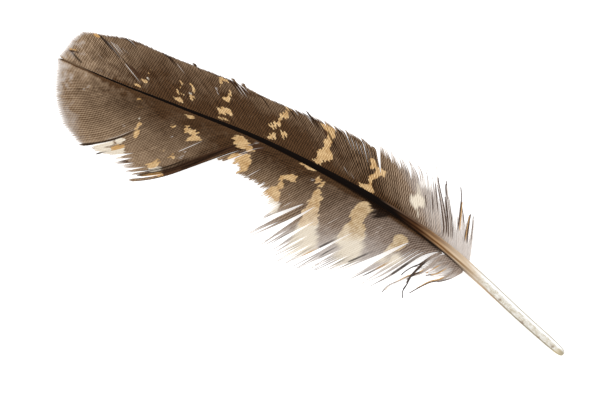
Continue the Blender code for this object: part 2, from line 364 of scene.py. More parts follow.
LEADING_MARKS = (
    # The worn tip, and the fold behind it with painted shadow along it
    *marks(
        Tone.DARK,
        ((-56.1, -0.1, 0.1), (-57.7, 0.4, 0.2), (-58.9, 0.8, 0.16)),
        ((-55.3, 6.5, 0.14), (-53.6, 6.1, 0.26), (-51.8, 5.5, 0.16), (-49.5, 4.6, 0.08)),
    ),
    *marks(Tone.BROWN, ((-59.5, 0.95, 0.3), (-58.9, 1.1, 0.26), (-57.8, 1.5, 0.14))),
    *marks(Tone.OCHRE, ((-59.6, 1.2, 0.16), (-58.6, 1.6, 0.1))),
    # Scattered spots towards the tip
    *marks(
        Tone.BUFF,
        ((-44.0, 1.5, 0.27), (-43.0, 1.6, 0.21)), ((-43.4, 3.0, 0.21), (-42.3, 3.0, 0.31)),
        ((-43.1, 5.7, 0.08), (-43.1, 5.0, 0.15)), ((-36.0, 6.4, 0.21), (-35.4, 6.1, 0.17)),
        ((-35.7, 5.5, 0.17), (-36.0, 4.5, 0.23)), ((-35.5, 4.3, 0.15), (-34.3, 4.5, 0.15)),
        ((-35.9, 3.1), (-35.5, 3.6), (-34.6, 3.6), (-33.7, 3.4), (-33.9, 3.0), (-34.7, 2.8),
         (-35.5, 2.8)),
        ((-34.7, 7.2, 0.15), (-33.8, 7.1, 0.17)),
        ((-33.7, 6.5), (-33.2, 6.8), (-32.5, 6.5), (-32.8, 6.1), (-33.4, 6.1)),
        ((-33.1, 4.8), (-32.5, 5.4), (-31.8, 5.0), (-32.1, 4.3), (-32.8, 4.4)),
        ((-29.9, 11.2), (-28.9, 11.7), (-27.9, 11.7), (-27.9, 11.1), (-28.7, 11.0), (-28.6, 10.4),
         (-28.7, 9.5), (-29.2, 10.5)),
        ((-26.5, 10.1), (-25.7, 9.6), (-25.7, 8.6), (-25.3, 7.5), (-26.6, 7.5), (-26.8, 8.0),
         (-26.4, 8.9)),
        ((-26.8, 5.6), (-25.5, 6.4), (-24.4, 6.6), (-23.4, 5.7), (-24.6, 5.3), (-25.9, 4.5)),
        ((-25.9, 4.0, 0.15), (-23.5, 4.3, 0.15)),
    ),
    *marks(
        Tone.CREAM,
        ((-42.9, 3.9, 0.1), (-42.4, 3.8, 0.15)), ((-33.3, 5.6, 0.12), (-33.0, 5.1, 0.12)),
    ),
    *marks(Tone.LIGHT, ((-29.1, 9.0, 0.1), (-28.2, 8.1, 0.12))),
    # Broken bars across the middle
    *marks(
        Tone.BUFF,
        ((-15.3, 12.8), (-14.3, 12.9), (-13.5, 12.8), (-13.5, 12.2), (-14.3, 12.3)),
        ((-14.3, 12.1), (-13.5, 11.7), (-13.2, 10.8), (-13.8, 10.5), (-14.4, 9.8), (-13.8, 8.8),
         (-14.6, 7.9), (-14.9, 7.3), (-15.9, 7.5), (-15.8, 8.0), (-15.1, 8.7), (-14.7, 9.3), (-14.8, 9.9),
         (-14.9, 10.5), (-14.7, 11.4)),
        ((-13.0, 7.8), (-12.4, 8.2), (-11.7, 8.0), (-11.6, 7.2), (-11.8, 6.7), (-12.6, 6.7),
         (-12.6, 7.4)),
        ((-15.6, 5.2), (-14.6, 5.7), (-14.5, 6.5), (-13.7, 6.7), (-13.2, 6.2), (-13.5, 5.5), (-14.4, 5.2),
         (-15.1, 5.2)),
        ((-6.8, 13.3), (-6.0, 13.6), (-4.1, 13.9), (-3.3, 13.7), (-3.0, 12.8), (-2.8, 11.2), (-2.8, 9.7),
         (-1.5, 8.8), (-1.1, 8.0), (-2.3, 6.6), (-2.6, 5.8), (-3.6, 5.6), (-4.6, 5.7), (-4.0, 6.7),
         (-4.5, 8.1), (-4.0, 9.0), (-3.8, 9.8), (-4.9, 10.4), (-4.2, 11.5), (-4.7, 12.4), (-5.9, 12.8)),
        ((5.5, 11.5), (6.3, 12.2), (7.4, 11.6), (8.0, 11.1), (8.9, 11.4), (10.0, 11.1), (10.1, 10.3),
         (9.0, 9.8), (9.1, 9.0), (8.5, 8.1), (8.5, 7.2), (9.4, 6.6), (9.4, 5.9), (8.5, 5.7), (7.3, 5.8),
         (6.1, 5.9), (6.7, 6.6), (7.7, 6.8), (7.7, 7.8), (6.9, 8.2), (7.9, 9.1), (8.2, 10.1), (7.6, 10.6),
         (7.2, 9.7), (6.5, 10.1), (6.7, 10.9), (6.3, 11.3)),
    ),
    # Pale patches of the rear
    *marks(
        Tone.CREAM,
        ((16.7, 9.2), (17.2, 10.2), (18.2, 10.4), (19.0, 10.5), (19.8, 10.1), (20.2, 9.2), (19.9, 8.3),
         (19.3, 7.9), (18.6, 7.6), (17.7, 7.8), (17.1, 8.3)),
        ((17.1, 11.9, 0.15), (18.1, 10.7, 0.19)), ((19.4, 7.4, 0.1), (19.9, 6.6, 0.06)),
    ),
    *marks(
        Tone.WHITE,
        ((16.9, 12.7), (17.2, 14.4), (18.6, 15.6), (20.1, 13.5), (19.0, 12.7), (17.6, 12.2)),
    ),
    # Light and dark clouding
    *marks(Tone.OCHRE, ((-57.1, 6.7), (-56.3, 6.8), (-55.3, 6.6), (-55.8, 6.1), (-56.9, 6.1))),
    *marks(
        Tone.BROWN,
        ((-5.8, 12.6), (-4.8, 12.6), (-4.0, 11.5), (-4.9, 11.6)),
        ((-47.6, 4.2, 0.25), (-45.5, 3.8, 0.33), (-43.7, 3.1, 0.25)),
    ),
    # Dark rim
    *marks(
        Tone.BROWN,
        ((-55.1, 6.9, 0.19), (-51.9, 8.5, 0.19), (-50.2, 8.8, 0.17), (-46.6, 9.6, 0.19),
         (-43.2, 10.0, 0.19), (-41.1, 10.0, 0.19), (-37.6, 10.6, 0.15), (-34.4, 11.2, 0.21),
         (-30.9, 11.4, 0.21), (-28.0, 11.8, 0.25)),
        ((-28.0, 11.8, 0.25), (-25.1, 11.6, 0.29), (-22.5, 11.3, 0.25), (-20.2, 12.3, 0.21),
         (-17.4, 12.8, 0.17), (-13.4, 12.8, 0.19), (-10.6, 13.4, 0.21), (-7.5, 13.4, 0.21)),
    ),
)

TRAILING_MARKS = (
    # Scattered spots of the fan at the tip
    *marks(Tone.OCHRE, ((-42.6, -0.9, 0.17), (-41.5, -0.9, 0.19))),
    *marks(
        Tone.BUFF,
        ((-41.2, -2.1, 0.15), (-39.7, -2.2, 0.21)),
        ((-39.7, -4.9), (-39.2, -4.8), (-38.8, -5.8), (-38.5, -7.1), (-38.4, -8.4), (-39.4, -8.2),
         (-39.5, -7.0), (-39.3, -6.4), (-39.8, -6.0)),
        ((-32.5, 1.0), (-31.8, 1.2), (-30.4, 1.7), (-29.6, 1.5), (-30.5, 0.8), (-31.6, 0.7)),
        ((-33.5, -2.5), (-33.4, -1.9), (-32.5, -1.8), (-32.3, -2.6), (-32.9, -2.7)),
        ((-31.1, -0.9), (-30.0, -0.5), (-29.7, -0.8), (-28.7, -0.6), (-27.9, -1.2), (-27.7, -1.6),
         (-26.1, -1.7), (-27.8, -2.9), (-28.5, -3.4), (-29.7, -3.7), (-29.1, -2.8), (-29.0, -2.0),
         (-30.3, -1.8), (-30.7, -1.2)),
        ((-30.9, -7.7), (-30.5, -7.0), (-29.7, -7.3), (-29.5, -8.0), (-30.5, -8.2)),
        ((-32.7, -7.7, 0.19), (-32.1, -7.5, 0.21)),
    ),
    *marks(Tone.CREAM, ((-40.0, -4.1, 0.19), (-39.5, -4.1, 0.17))),
    # Ends of the fan
    *marks(
        Tone.CREAM,
        ((-42.2, -10.3), (-41.5, -9.6), (-40.5, -9.5), (-40.3, -10.2), (-41.7, -11.1)),
        ((-45.8, -13.7), (-43.9, -12.1), (-42.5, -11.1), (-41.9, -11.5), (-43.4, -12.9), (-43.9, -13.8),
         (-45.3, -14.4)),
        ((-45.7, -14.6), (-44.7, -13.7), (-42.1, -12.3), (-39.9, -10.8), (-39.0, -12.2), (-39.2, -13.3),
         (-41.1, -14.3), (-42.7, -14.6), (-44.1, -14.5)),
        ((-40.9, -14.5), (-39.8, -13.9), (-39.4, -14.5), (-40.6, -15.1)),
        ((-33.5, -12.1), (-32.5, -11.6), (-31.9, -10.9), (-30.8, -10.9), (-30.8, -11.3), (-32.0, -12.5),
         (-32.8, -13.1)),
    ),
    *marks(
        Tone.BROWN,
        ((-46.9, -14.3), (-45.4, -13.3), (-45.0, -14.0), (-46.5, -14.8)),
        ((-39.6, -14.0), (-37.6, -12.9), (-37.4, -13.3), (-39.4, -14.5)),
    ),
    *marks(
        Tone.OCHRE,
        ((-42.0, -12.9), (-42.3, -12.4), (-41.2, -11.2), (-40.0, -10.5), (-39.8, -10.9)),
        ((-33.9, -14.3), (-33.0, -13.4), (-31.2, -11.9), (-30.4, -11.6), (-29.9, -12.3), (-32.3, -13.7)),
    ),
    *marks(
        Tone.BUFF,
        ((-34.1, -11.8), (-33.4, -10.7), (-32.6, -9.6), (-32.1, -9.7), (-31.8, -10.3), (-31.8, -10.9),
         (-32.4, -11.8), (-33.4, -12.3)),
    ),
    # Bars of the broken and the rear stretch
    *marks(
        Tone.BUFF,
        ((-21.2, 1.6), (-20.4, 2.7), (-19.9, 3.0), (-18.2, 2.8), (-17.4, 2.2), (-16.3, 2.0), (-15.7, 1.5),
         (-16.9, 0.9), (-17.7, 1.0), (-18.8, 0.5), (-19.7, 0.5), (-20.4, 0.7), (-20.2, 1.3),
         (-20.6, 1.6)),
        ((-19.9, -2.3), (-19.5, -1.2), (-18.9, -0.7), (-17.2, 0.2), (-16.4, 0.2), (-15.4, -0.4),
         (-15.1, -1.3), (-15.3, -2.2), (-15.3, -3.0), (-16.1, -3.5), (-16.5, -3.9), (-17.0, -4.6),
         (-17.5, -5.3), (-18.9, -2.9)),
        ((-6.5, 4.0), (-6.0, 4.3), (-4.8, 4.4), (-2.7, 4.4), (-3.3, 3.8), (-4.7, 3.7), (-5.7, 3.9)),
        ((-8.8, -0.4), (-8.0, 0.2), (-7.2, 1.0), (-5.5, 1.4), (-5.5, 0.5), (-5.0, 0.3), (-5.7, -0.1),
         (-6.9, -0.4), (-7.4, -0.3), (-8.2, -0.9), (-7.4, -1.3), (-6.7, -1.7), (-7.1, -2.5), (-8.1, -2.6),
         (-8.4, -2.1), (-8.2, -1.3)),
        ((-1.9, 3.4), (-1.5, 3.6), (-0.6, 3.0), (0.1, 2.6), (0.1, 2.0), (-1.0, 1.5), (-0.6, 2.3),
         (-1.9, 2.1)),
        ((-1.0, 0.9), (-0.3, 1.5), (0.7, 0.7), (1.3, -0.9), (1.7, -2.6), (2.4, -4.1), (3.0, -5.6),
         (-0.5, -7.6), (-0.6, -5.3), (-1.2, -4.1), (-1.0, -2.7), (-0.9, -1.5), (-0.9, -0.4), (-1.2, 0.3)),
        ((7.9, 2.8), (8.6, 3.5), (9.9, 3.7), (11.1, 3.3), (11.5, 2.5), (10.8, 1.2), (10.6, 0.1),
         (11.4, -0.4), (12.0, -1.5), (12.3, -2.7), (12.8, -3.9), (8.0, -6.1), (7.8, -4.1), (8.0, -2.5),
         (8.3, -1.1), (7.8, 0.1), (7.8, 1.4)),
        ((17.7, 0.6), (18.3, 1.2), (19.3, 1.4), (20.6, 0.9), (21.0, 0.0), (20.4, -1.4), (19.0, -2.9),
         (18.0, -4.4), (17.3, -4.6), (17.5, -3.2), (17.7, -2.1), (17.9, -0.9)),
    ),
    *marks(
        Tone.LIGHT,
        ((-17.2, -3.2, 0.17), (-16.9, -2.7, 0.1)), ((-2.9, 2.1, 0.08), (-2.0, 2.5, 0.08)),
    ),
    *marks(
        Tone.CREAM,
        ((-9.1, -3.2), (-8.1, -2.6), (-7.4, -3.2), (-6.7, -4.2), (-6.2, -5.5), (-5.4, -7.3), (-6.4, -8.0),
         (-7.8, -9.0), (-7.6, -7.5), (-8.5, -7.3), (-8.7, -6.0), (-9.5, -5.8), (-10.2, -6.1),
         (-9.9, -4.8), (-9.4, -3.8)),
    ),
    # Whitened ends of the bars
    *marks(
        Tone.CREAM,
        ((-0.7, -6.7), (2.4, -4.5), (4.0, -7.2), (5.1, -9.2), (4.0, -12.2), (-0.3, -14.6), (-0.4, -12.3),
         (-0.5, -9.2)),
        ((7.6, -5.4), (12.0, -2.2), (12.8, -3.9), (13.4, -5.5), (13.6, -7.5), (12.3, -10.4), (9.6, -11.9),
         (8.9, -9.4), (9.4, -7.3), (7.9, -6.7)),
        ((19.3, -2.9), (20.7, -2.1), (21.7, -2.5), (21.6, -3.6), (20.7, -5.0), (19.4, -6.1)),
        ((17.2, -5.0), (19.2, -3.6), (19.1, -5.1), (17.3, -6.1)),
    ),
    *marks(
        Tone.BUFF,
        ((-9.3, -3.2), (-8.1, -2.4), (-7.2, -3.2), (-6.5, -4.2), (-6.3, -5.4), (-7.9, -5.2), (-9.2, -5.4),
         (-10.2, -5.2)),
    ),
    # Pale specks
    *marks(
        Tone.LIGHT,
        ((-52.6, -3.6, 0.12), (-53.0, -4.9, 0.08)), ((-42.3, -7.2, 0.15), (-41.9, -7.0, 0.15)),
        ((-41.2, -7.4, 0.08), (-40.6, -7.4, 0.08)), ((-47.4, -12.4, 0.1), (-47.1, -12.2, 0.1)),
        ((-32.6, -4.3, 0.1), (-32.0, -4.1, 0.19)), ((-5.3, -2.7, 0.12), (-5.3, -2.7, 0.12)),
        ((13.5, 0.2, 0.15), (14.3, 0.2, 0.15)), ((14.3, -0.9, 0.15), (14.4, -0.7, 0.15)),
        ((-28.4, -5.4, 0.15), (-28.2, -6.5, 0.12)), ((-29.5, -7.6, 0.08), (-27.4, -6.8, 0.1)),
        ((-17.6, 1.7, 0.1), (-16.0, 3.5, 0.06)),
    ),
    # The pressed edge of the notch, and painted shadow on the patch by the shaft
    *marks(
        Tone.BROWN,
        ((-19.6, 1.0), (-19.2, 0.3), (-21.2, -1.7), (-22.9, -4.1), (-24.5, -6.3), (-26.7, -9.1),
         (-28.4, -11.3), (-29.9, -12.3), (-30.7, -11.5), (-29.3, -10.0), (-27.6, -7.9), (-25.3, -5.0),
         (-22.9, -2.2)),
        ((-29.6, -8.3, 0.1), (-26.9, -6.8, 0.1)),
        ((-17.4, 1.7), (-16.0, 3.1), (-14.2, 3.3), (-14.6, 2.2), (-16.0, 1.3)),
    ),
    *marks(
        Tone.DARK,
        ((-19.9, 0.6, 0.1), (-22.2, -2.4, 0.25), (-24.9, -5.9, 0.25), (-27.3, -9.2, 0.15)),
        ((7.4, 4.5), (9.2, 4.1), (10.6, 3.6), (12.0, 3.3), (10.7, 2.2), (11.4, 2.2), (12.4, 2.6),
         (11.6, 1.4), (13.2, 2.1), (14.3, 2.7), (15.1, 3.7), (16.9, 3.8), (18.4, 3.7), (17.7, 4.1),
         (13.5, 4.5), (9.8, 4.7)),
    ),
)

LEADING_LINES = (
    # The fold behind the tip, with painted shadow along its dark lines
    *lines(Tone.DARK, (102.7, 8.5, 16.8, 0.9), (101.4, 6.5, 10.5, 0.6), (100.6, 5.0, 8.4, 0.5, 0.6)),
    *lines(
        Tone.LIGHT,
        (102.2, 1.0, 8.4, 0.7), (101.8, 7.5, 14.5, 0.6), (101.2, 9.0, 15.0, 0.6), (100.6, 9.8, 15.0, 0.5),
        (102.5, 10.0, 15.4, 0.6), (99.9, 10.2, 14.6, 0.5), (99.2, 10.8, 14.2, 0.4),
        (98.4, 11.0, 13.8, 0.35), (112.1, 1.0, 2.6, 0.35, 0.5), (111.3, 0.8, 3.2, 0.35, 0.5),
        (110.4, 1.2, 3.6, 0.3, 0.5), (109.5, 0.9, 3.0, 0.35, 0.5), (108.6, 1.2, 2.6, 0.3, 0.5),
        (107.0, 6.0, 9.6, 0.3), (109.5, 5.0, 8.0, 0.3),
    ),
    *lines(Tone.DARK, (114.0, 3.4, 7.6, 0.5), (112.6, 5.4, 8.8, 0.3), (105.0, 7.0, 12.0, 0.3)),
    # Shadowed slits of the margin
    *lines(
        Tone.DARK,
        (94.9, 13.8, 19.0, 0.9), (86.7, 12.6, 18.8, 0.9, 0.7), (80.4, 14.4, 18.6, 0.8),
        (76.2, 14.0, 18.0, 0.5), (73.9, 11.5, 17.8, 0.9), (72.8, 11.5, 17.8, 0.9, 0.7),
        (71.8, 12.0, 18.6, 0.8), (69.6, 13.0, 17.6, 0.6), (67.4, 10.8, 17.0, 0.85),
        (64.0, 14.0, 17.4, 0.5), (61.2, 11.0, 17.0, 0.9), (59.2, 14.0, 17.0, 0.5),
        (57.4, 11.0, 17.6, 0.9), (56.6, 10.4, 15.8, 0.85), (55.3, 6.5, 13.0, 0.8),
        (54.0, 12.5, 15.6, 0.5), (52.6, 11.8, 15.2, 0.8), (50.7, 11.0, 14.0, 0.5),
        (46.8, 8.0, 12.6, 0.45), (45.4, 9.0, 12.8, 0.45), (44.0, 7.0, 12.8, 0.5), (42.6, 8.5, 13.0, 0.45),
        (41.8, 6.0, 13.0, 0.6), (40.5, 8.0, 13.2, 0.45), (39.4, 5.0, 13.0, 0.5), (38.5, 7.5, 13.4, 0.45),
        (37.5, 6.0, 13.4, 0.6), (36.0, 7.0, 13.4, 0.5), (33.4, 2.0, 8.0, 0.35), (32.0, 1.6, 7.6, 0.4),
        (30.6, 1.2, 7.6, 0.35), (29.2, 2.0, 7.6, 0.35), (28.0, 2.0, 7.4, 0.3),
    ),
    # Bare barbs that catch the light
    *lines(
        Tone.LIGHT,
        (86.0, 11.6, 15.8, 0.5), (73.3, 11.4, 15.4, 0.5), (72.2, 11.5, 16.6, 0.7),
        (57.9, 11.8, 16.4, 0.6), (52.1, 11.8, 15.0, 0.5), (55.6, 1.5, 4.6, 0.45), (54.6, 0.6, 3.6, 0.4),
        (50.0, 9.4, 13.6, 0.5),
    ),
)

TRAILING_LINES = (
    # The long slit below the tip, with painted shadow along it
    *lines(Tone.DARK, (91.1, 5.5, 26.0, 0.95)),
    *lines(Tone.LIGHT, (91.8, 9.0, 20.0, 0.5, 0.5)),
    # Shadowed slits and dark hairs
    *lines(
        Tone.DARK,
        (88.6, 20.5, 26.0, 0.9), (77.3, 17.0, 27.0, 0.7), (76.8, 10.0, 26.0, 0.9), (76.3, 5.0, 26.0, 0.6),
        (75.8, 3.0, 29.0, 0.95), (75.3, 0.0, 29.0, 0.7), (57.4, 14.0, 19.0, 0.6), (55.2, 15.0, 22.6, 0.4),
        (53.4, 17.0, 23.0, 0.5), (52.3, 16.0, 23.0, 0.5), (51.4, 15.0, 24.0, 0.8),
        (49.3, 17.0, 23.0, 0.5), (47.7, 18.0, 23.0, 0.5), (45.7, 16.0, 22.6, 0.55),
        (42.2, 15.6, 20.6, 0.5), (41.2, 16.0, 20.6, 0.5), (38.4, 15.0, 20.0, 0.5),
        (35.6, 12.0, 19.0, 0.6), (46.4, 0.5, 5.0, 0.6), (44.6, 11.8, 18.0, 0.85),
        (43.1, 13.6, 19.4, 0.85), (40.6, 15.0, 20.4, 0.6), (39.2, 14.0, 20.4, 0.6),
        (37.7, 10.0, 17.2, 0.95), (36.9, 14.0, 19.4, 0.7), (35.0, 12.3, 16.8, 0.95, 0.6),
        (33.7, 3.0, 12.0, 0.95),
    ),
    *lines(
        Tone.OCHRE,
        (88.6, 17.6, 21.8, 0.9, 0.6), (44.6, 17.0, 22.0, 0.8), (35.0, 9.0, 13.8, 0.8, 0.6),
    ),
    *lines(
        Tone.LIGHT,
        (80.3, 7.8, 14.6, 0.9), (68.8, 6.6, 12.6, 0.95), (57.9, 10.4, 13.6, 0.7), (48.8, 8.0, 12.2, 0.5),
        (73.9, 0.2, 8.0, 0.6),
    ),
)


# Shaft


@dataclass(frozen=True)
class ShaftSize:
    """Sizes of the shaft, by station: the distance from the quill end.

    plan: points of its centreline
    widths: stations and widths
    depth_to_width: how deep its section is
    rest_to: station up to which it lies on the surface
    flat_cut: depth of the flat that it lies on
    arch_rise, arch_sharpness: how it rises from there on
    tip_rise: how high the tip stays
    vane_from: station of the first barbs
    squared: how much squarer its section is between the vanes
    blend_before, blend_span: where the section changes, before the first barbs
    groove, groove_width: furrow along its underside
    dent, dent_width, dent_aside: shallow dent along its back
    hollow, hollow_depth: the sunk end of the quill
    sides, ring_step: how finely its skin is divided
    """

    plan: tuple[Point, ...] = (
        (60.5, -3.7), (49.4, -1.3), (38.1, 1.4), (27.3, 3.6), (16.7, 4.7),
        (3.2, 5.0), (-15.9, 4.2), (-33.7, 1.9), (-48.1, -0.1), (-59.8, -1.3),
    )
    length: float = 121.5
    widths: tuple[Point, ...] = (
        (0.0, 0.9), (0.5, 1.5), (1.6, 1.9), (4.0, 2.15), (14.0, 2.3), (28.0, 2.4), (36.0, 2.1),
        (46.0, 1.75), (60.0, 1.4), (77.0, 1.05), (95.0, 0.65), (110.0, 0.4), (121.5, 0.25),
    )
    depth_to_width: float = 0.92
    rest_to: float = 15.6
    flat_cut: float = 0.14
    arch_rise: float = 2.9
    tip_rise: float = 0.15
    arch_sharpness: float = 1.4
    vane_from: float = 26.6
    squared: float = 0.9
    blend_before: float = 3.0
    blend_span: float = 9.0
    groove: float = 0.272
    groove_width: float = 0.3
    dent: float = 0.05
    dent_width: float = 0.18
    dent_aside: float = 0.1
    hollow: float = 0.55
    hollow_depth: float = 0.35
    sides: int = 36
    ring_step: float = 0.8


class ShaftLine:
    """Where the shaft runs, how wide it is and how high it lies."""

    def __init__(self, size: ShaftSize) -> None:
        """Sample the centreline as a Catmull-Rom curve.

        Args:
            size: the shaft's sizes.
        """
        self.size = size
        self.line = curve_through(np.array(size.plan), 24)
        self.stations = run_along(self.line)

    def at(self, station: np.ndarray) -> np.ndarray:
        """Plan points at stations."""
        return between(station, self.stations, self.line)

    def along(self, station: np.ndarray) -> np.ndarray:
        """Directions of the shaft.

        Args:
            station: distances from the quill end.

        Returns:
            Unit vectors towards the tip, one a row.
        """
        reach = 0.6
        ahead = self.at(np.clip(station + reach, 0, self.size.length))
        behind = self.at(np.clip(station - reach, 0, self.size.length))
        return unit(ahead - behind)

    def width(self, station: np.ndarray) -> np.ndarray:
        """Widths at stations."""
        stations, widths = zip(*self.size.widths)
        return np.interp(station, stations, widths)

    def belly(self, station: np.ndarray) -> np.ndarray:
        """Heights of the underside above the surface.

        Args:
            station: distances from the quill end.

        Returns:
            One height for each.
        """
        size = self.size
        share = np.clip((station - size.rest_to) / (size.length - size.rest_to), 0, 1)
        arch = np.sin(np.pi * share) ** size.arch_sharpness
        return size.arch_rise * arch + size.tip_rise * share

    def nearest(self, places: np.ndarray) -> tuple[np.ndarray, np.ndarray]:
        """How far plan points lie from the shaft.

        Args:
            places: plan points, one a row.

        Returns:
            Their distances from the centreline, and the stations nearest to them.
        """
        away = np.linalg.norm(places[:, None] - self.line[None], axis=2)
        index = away.argmin(axis=1)
        return away[np.arange(len(places)), index], self.stations[index]


def unit(vectors: np.ndarray) -> np.ndarray:
    """Vectors scaled to length one."""
    return vectors / np.maximum(np.linalg.norm(vectors, axis=-1, keepdims=True), 1e-9)


def run_along(points: np.ndarray) -> np.ndarray:
    """Distances run along each row of points, from 0 at its first."""
    run = np.cumsum(np.linalg.norm(np.diff(points, axis=-2), axis=-1), axis=-1)
    return np.concatenate((np.zeros_like(run[..., :1]), run), axis=-1)


def between(at: np.ndarray, run: np.ndarray, table: np.ndarray) -> np.ndarray:
    """Rows of a table at distances along it."""
    return np.stack([np.interp(at, run, column) for column in table.T], axis=-1)


def curve_through(points: np.ndarray, steps: int) -> np.ndarray:
    """Catmull-Rom curve through points.

    Args:
        points: the points, one a row.
        steps: samples between each pair of points.

    Returns:
        Points along the curve.
    """
    padded = np.vstack((2 * points[0] - points[1], points, 2 * points[-1] - points[-2]))
    samples = []
    for a, b, c, d in zip(padded, padded[1:], padded[2:], padded[3:]):
        for t in np.arange(steps) / steps:
            bend = 2 * a - 5 * b + 4 * c - d
            twist = 3 * (b - c) + d - a
            samples.append(b + 0.5 * t * (c - a + t * (bend + t * twist)))
    samples.append(padded[-2])
    return np.array(samples)


class Sheet:
    """Points, faces, point values and bake coordinates of one mesh."""

    def __init__(self, names: tuple[str, ...]) -> None:
        """Start an empty mesh.

        Args:
            names: the values that its points carry.
        """
        self.points: list[np.ndarray] = []
        self.values: dict[str, list[np.ndarray]] = {name: [] for name in names}
        self.faces: list[tuple[int, ...]] = []
        self.corners: list[Point] = []
        self.count = 0

    def add_points(self, points: np.ndarray, values: dict[str, np.ndarray]) -> int:
        """Add points.

        Args:
            points: places in millimetres, one a row.
            values: one number a point for each of the mesh's names.

        Returns:
            The number of the first added point.
        """
        first = self.count
        self.points.append(points)
        for name, rows in self.values.items():
            rows.append(np.broadcast_to(values[name], len(points)))
        self.count += len(points)
        return first

    def add_face(self, ring: tuple[int, ...], spots: tuple[Point, ...]) -> None:
        """Add a face with its bake coordinates."""
        self.faces.append(ring)
        self.corners.extend(spots)

    def build(self, name: str, material: bpy.types.Material, smooth: bool) -> bpy.types.Object:
        """Make the object.

        Args:
            name: the piece's name.
            material: its finish.
            smooth: whether faces shade as one surface.

        Returns:
            The object, which rides on the feather's body.
        """
        data = bpy.data.meshes.new(name)
        data.from_pydata(np.vstack(self.points) * MM, [], self.faces)
        for label, rows in self.values.items():
            layer = data.attributes.new(label, "FLOAT", "POINT")
            layer.data.foreach_set("value", np.concatenate(rows).astype(np.float32))
        bake = data.uv_layers.new(name=BAKE_MAP)
        bake.uv.foreach_set("vector", np.array(self.corners, np.float32).ravel())
        data.polygons.foreach_set("use_smooth", [smooth] * len(data.polygons))
        data.materials.append(material)
        data.update()
        piece = bpy.data.objects.new(name, data)
        bpy.context.scene.collection.objects.link(piece)
        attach(piece, BODY)
        return piece


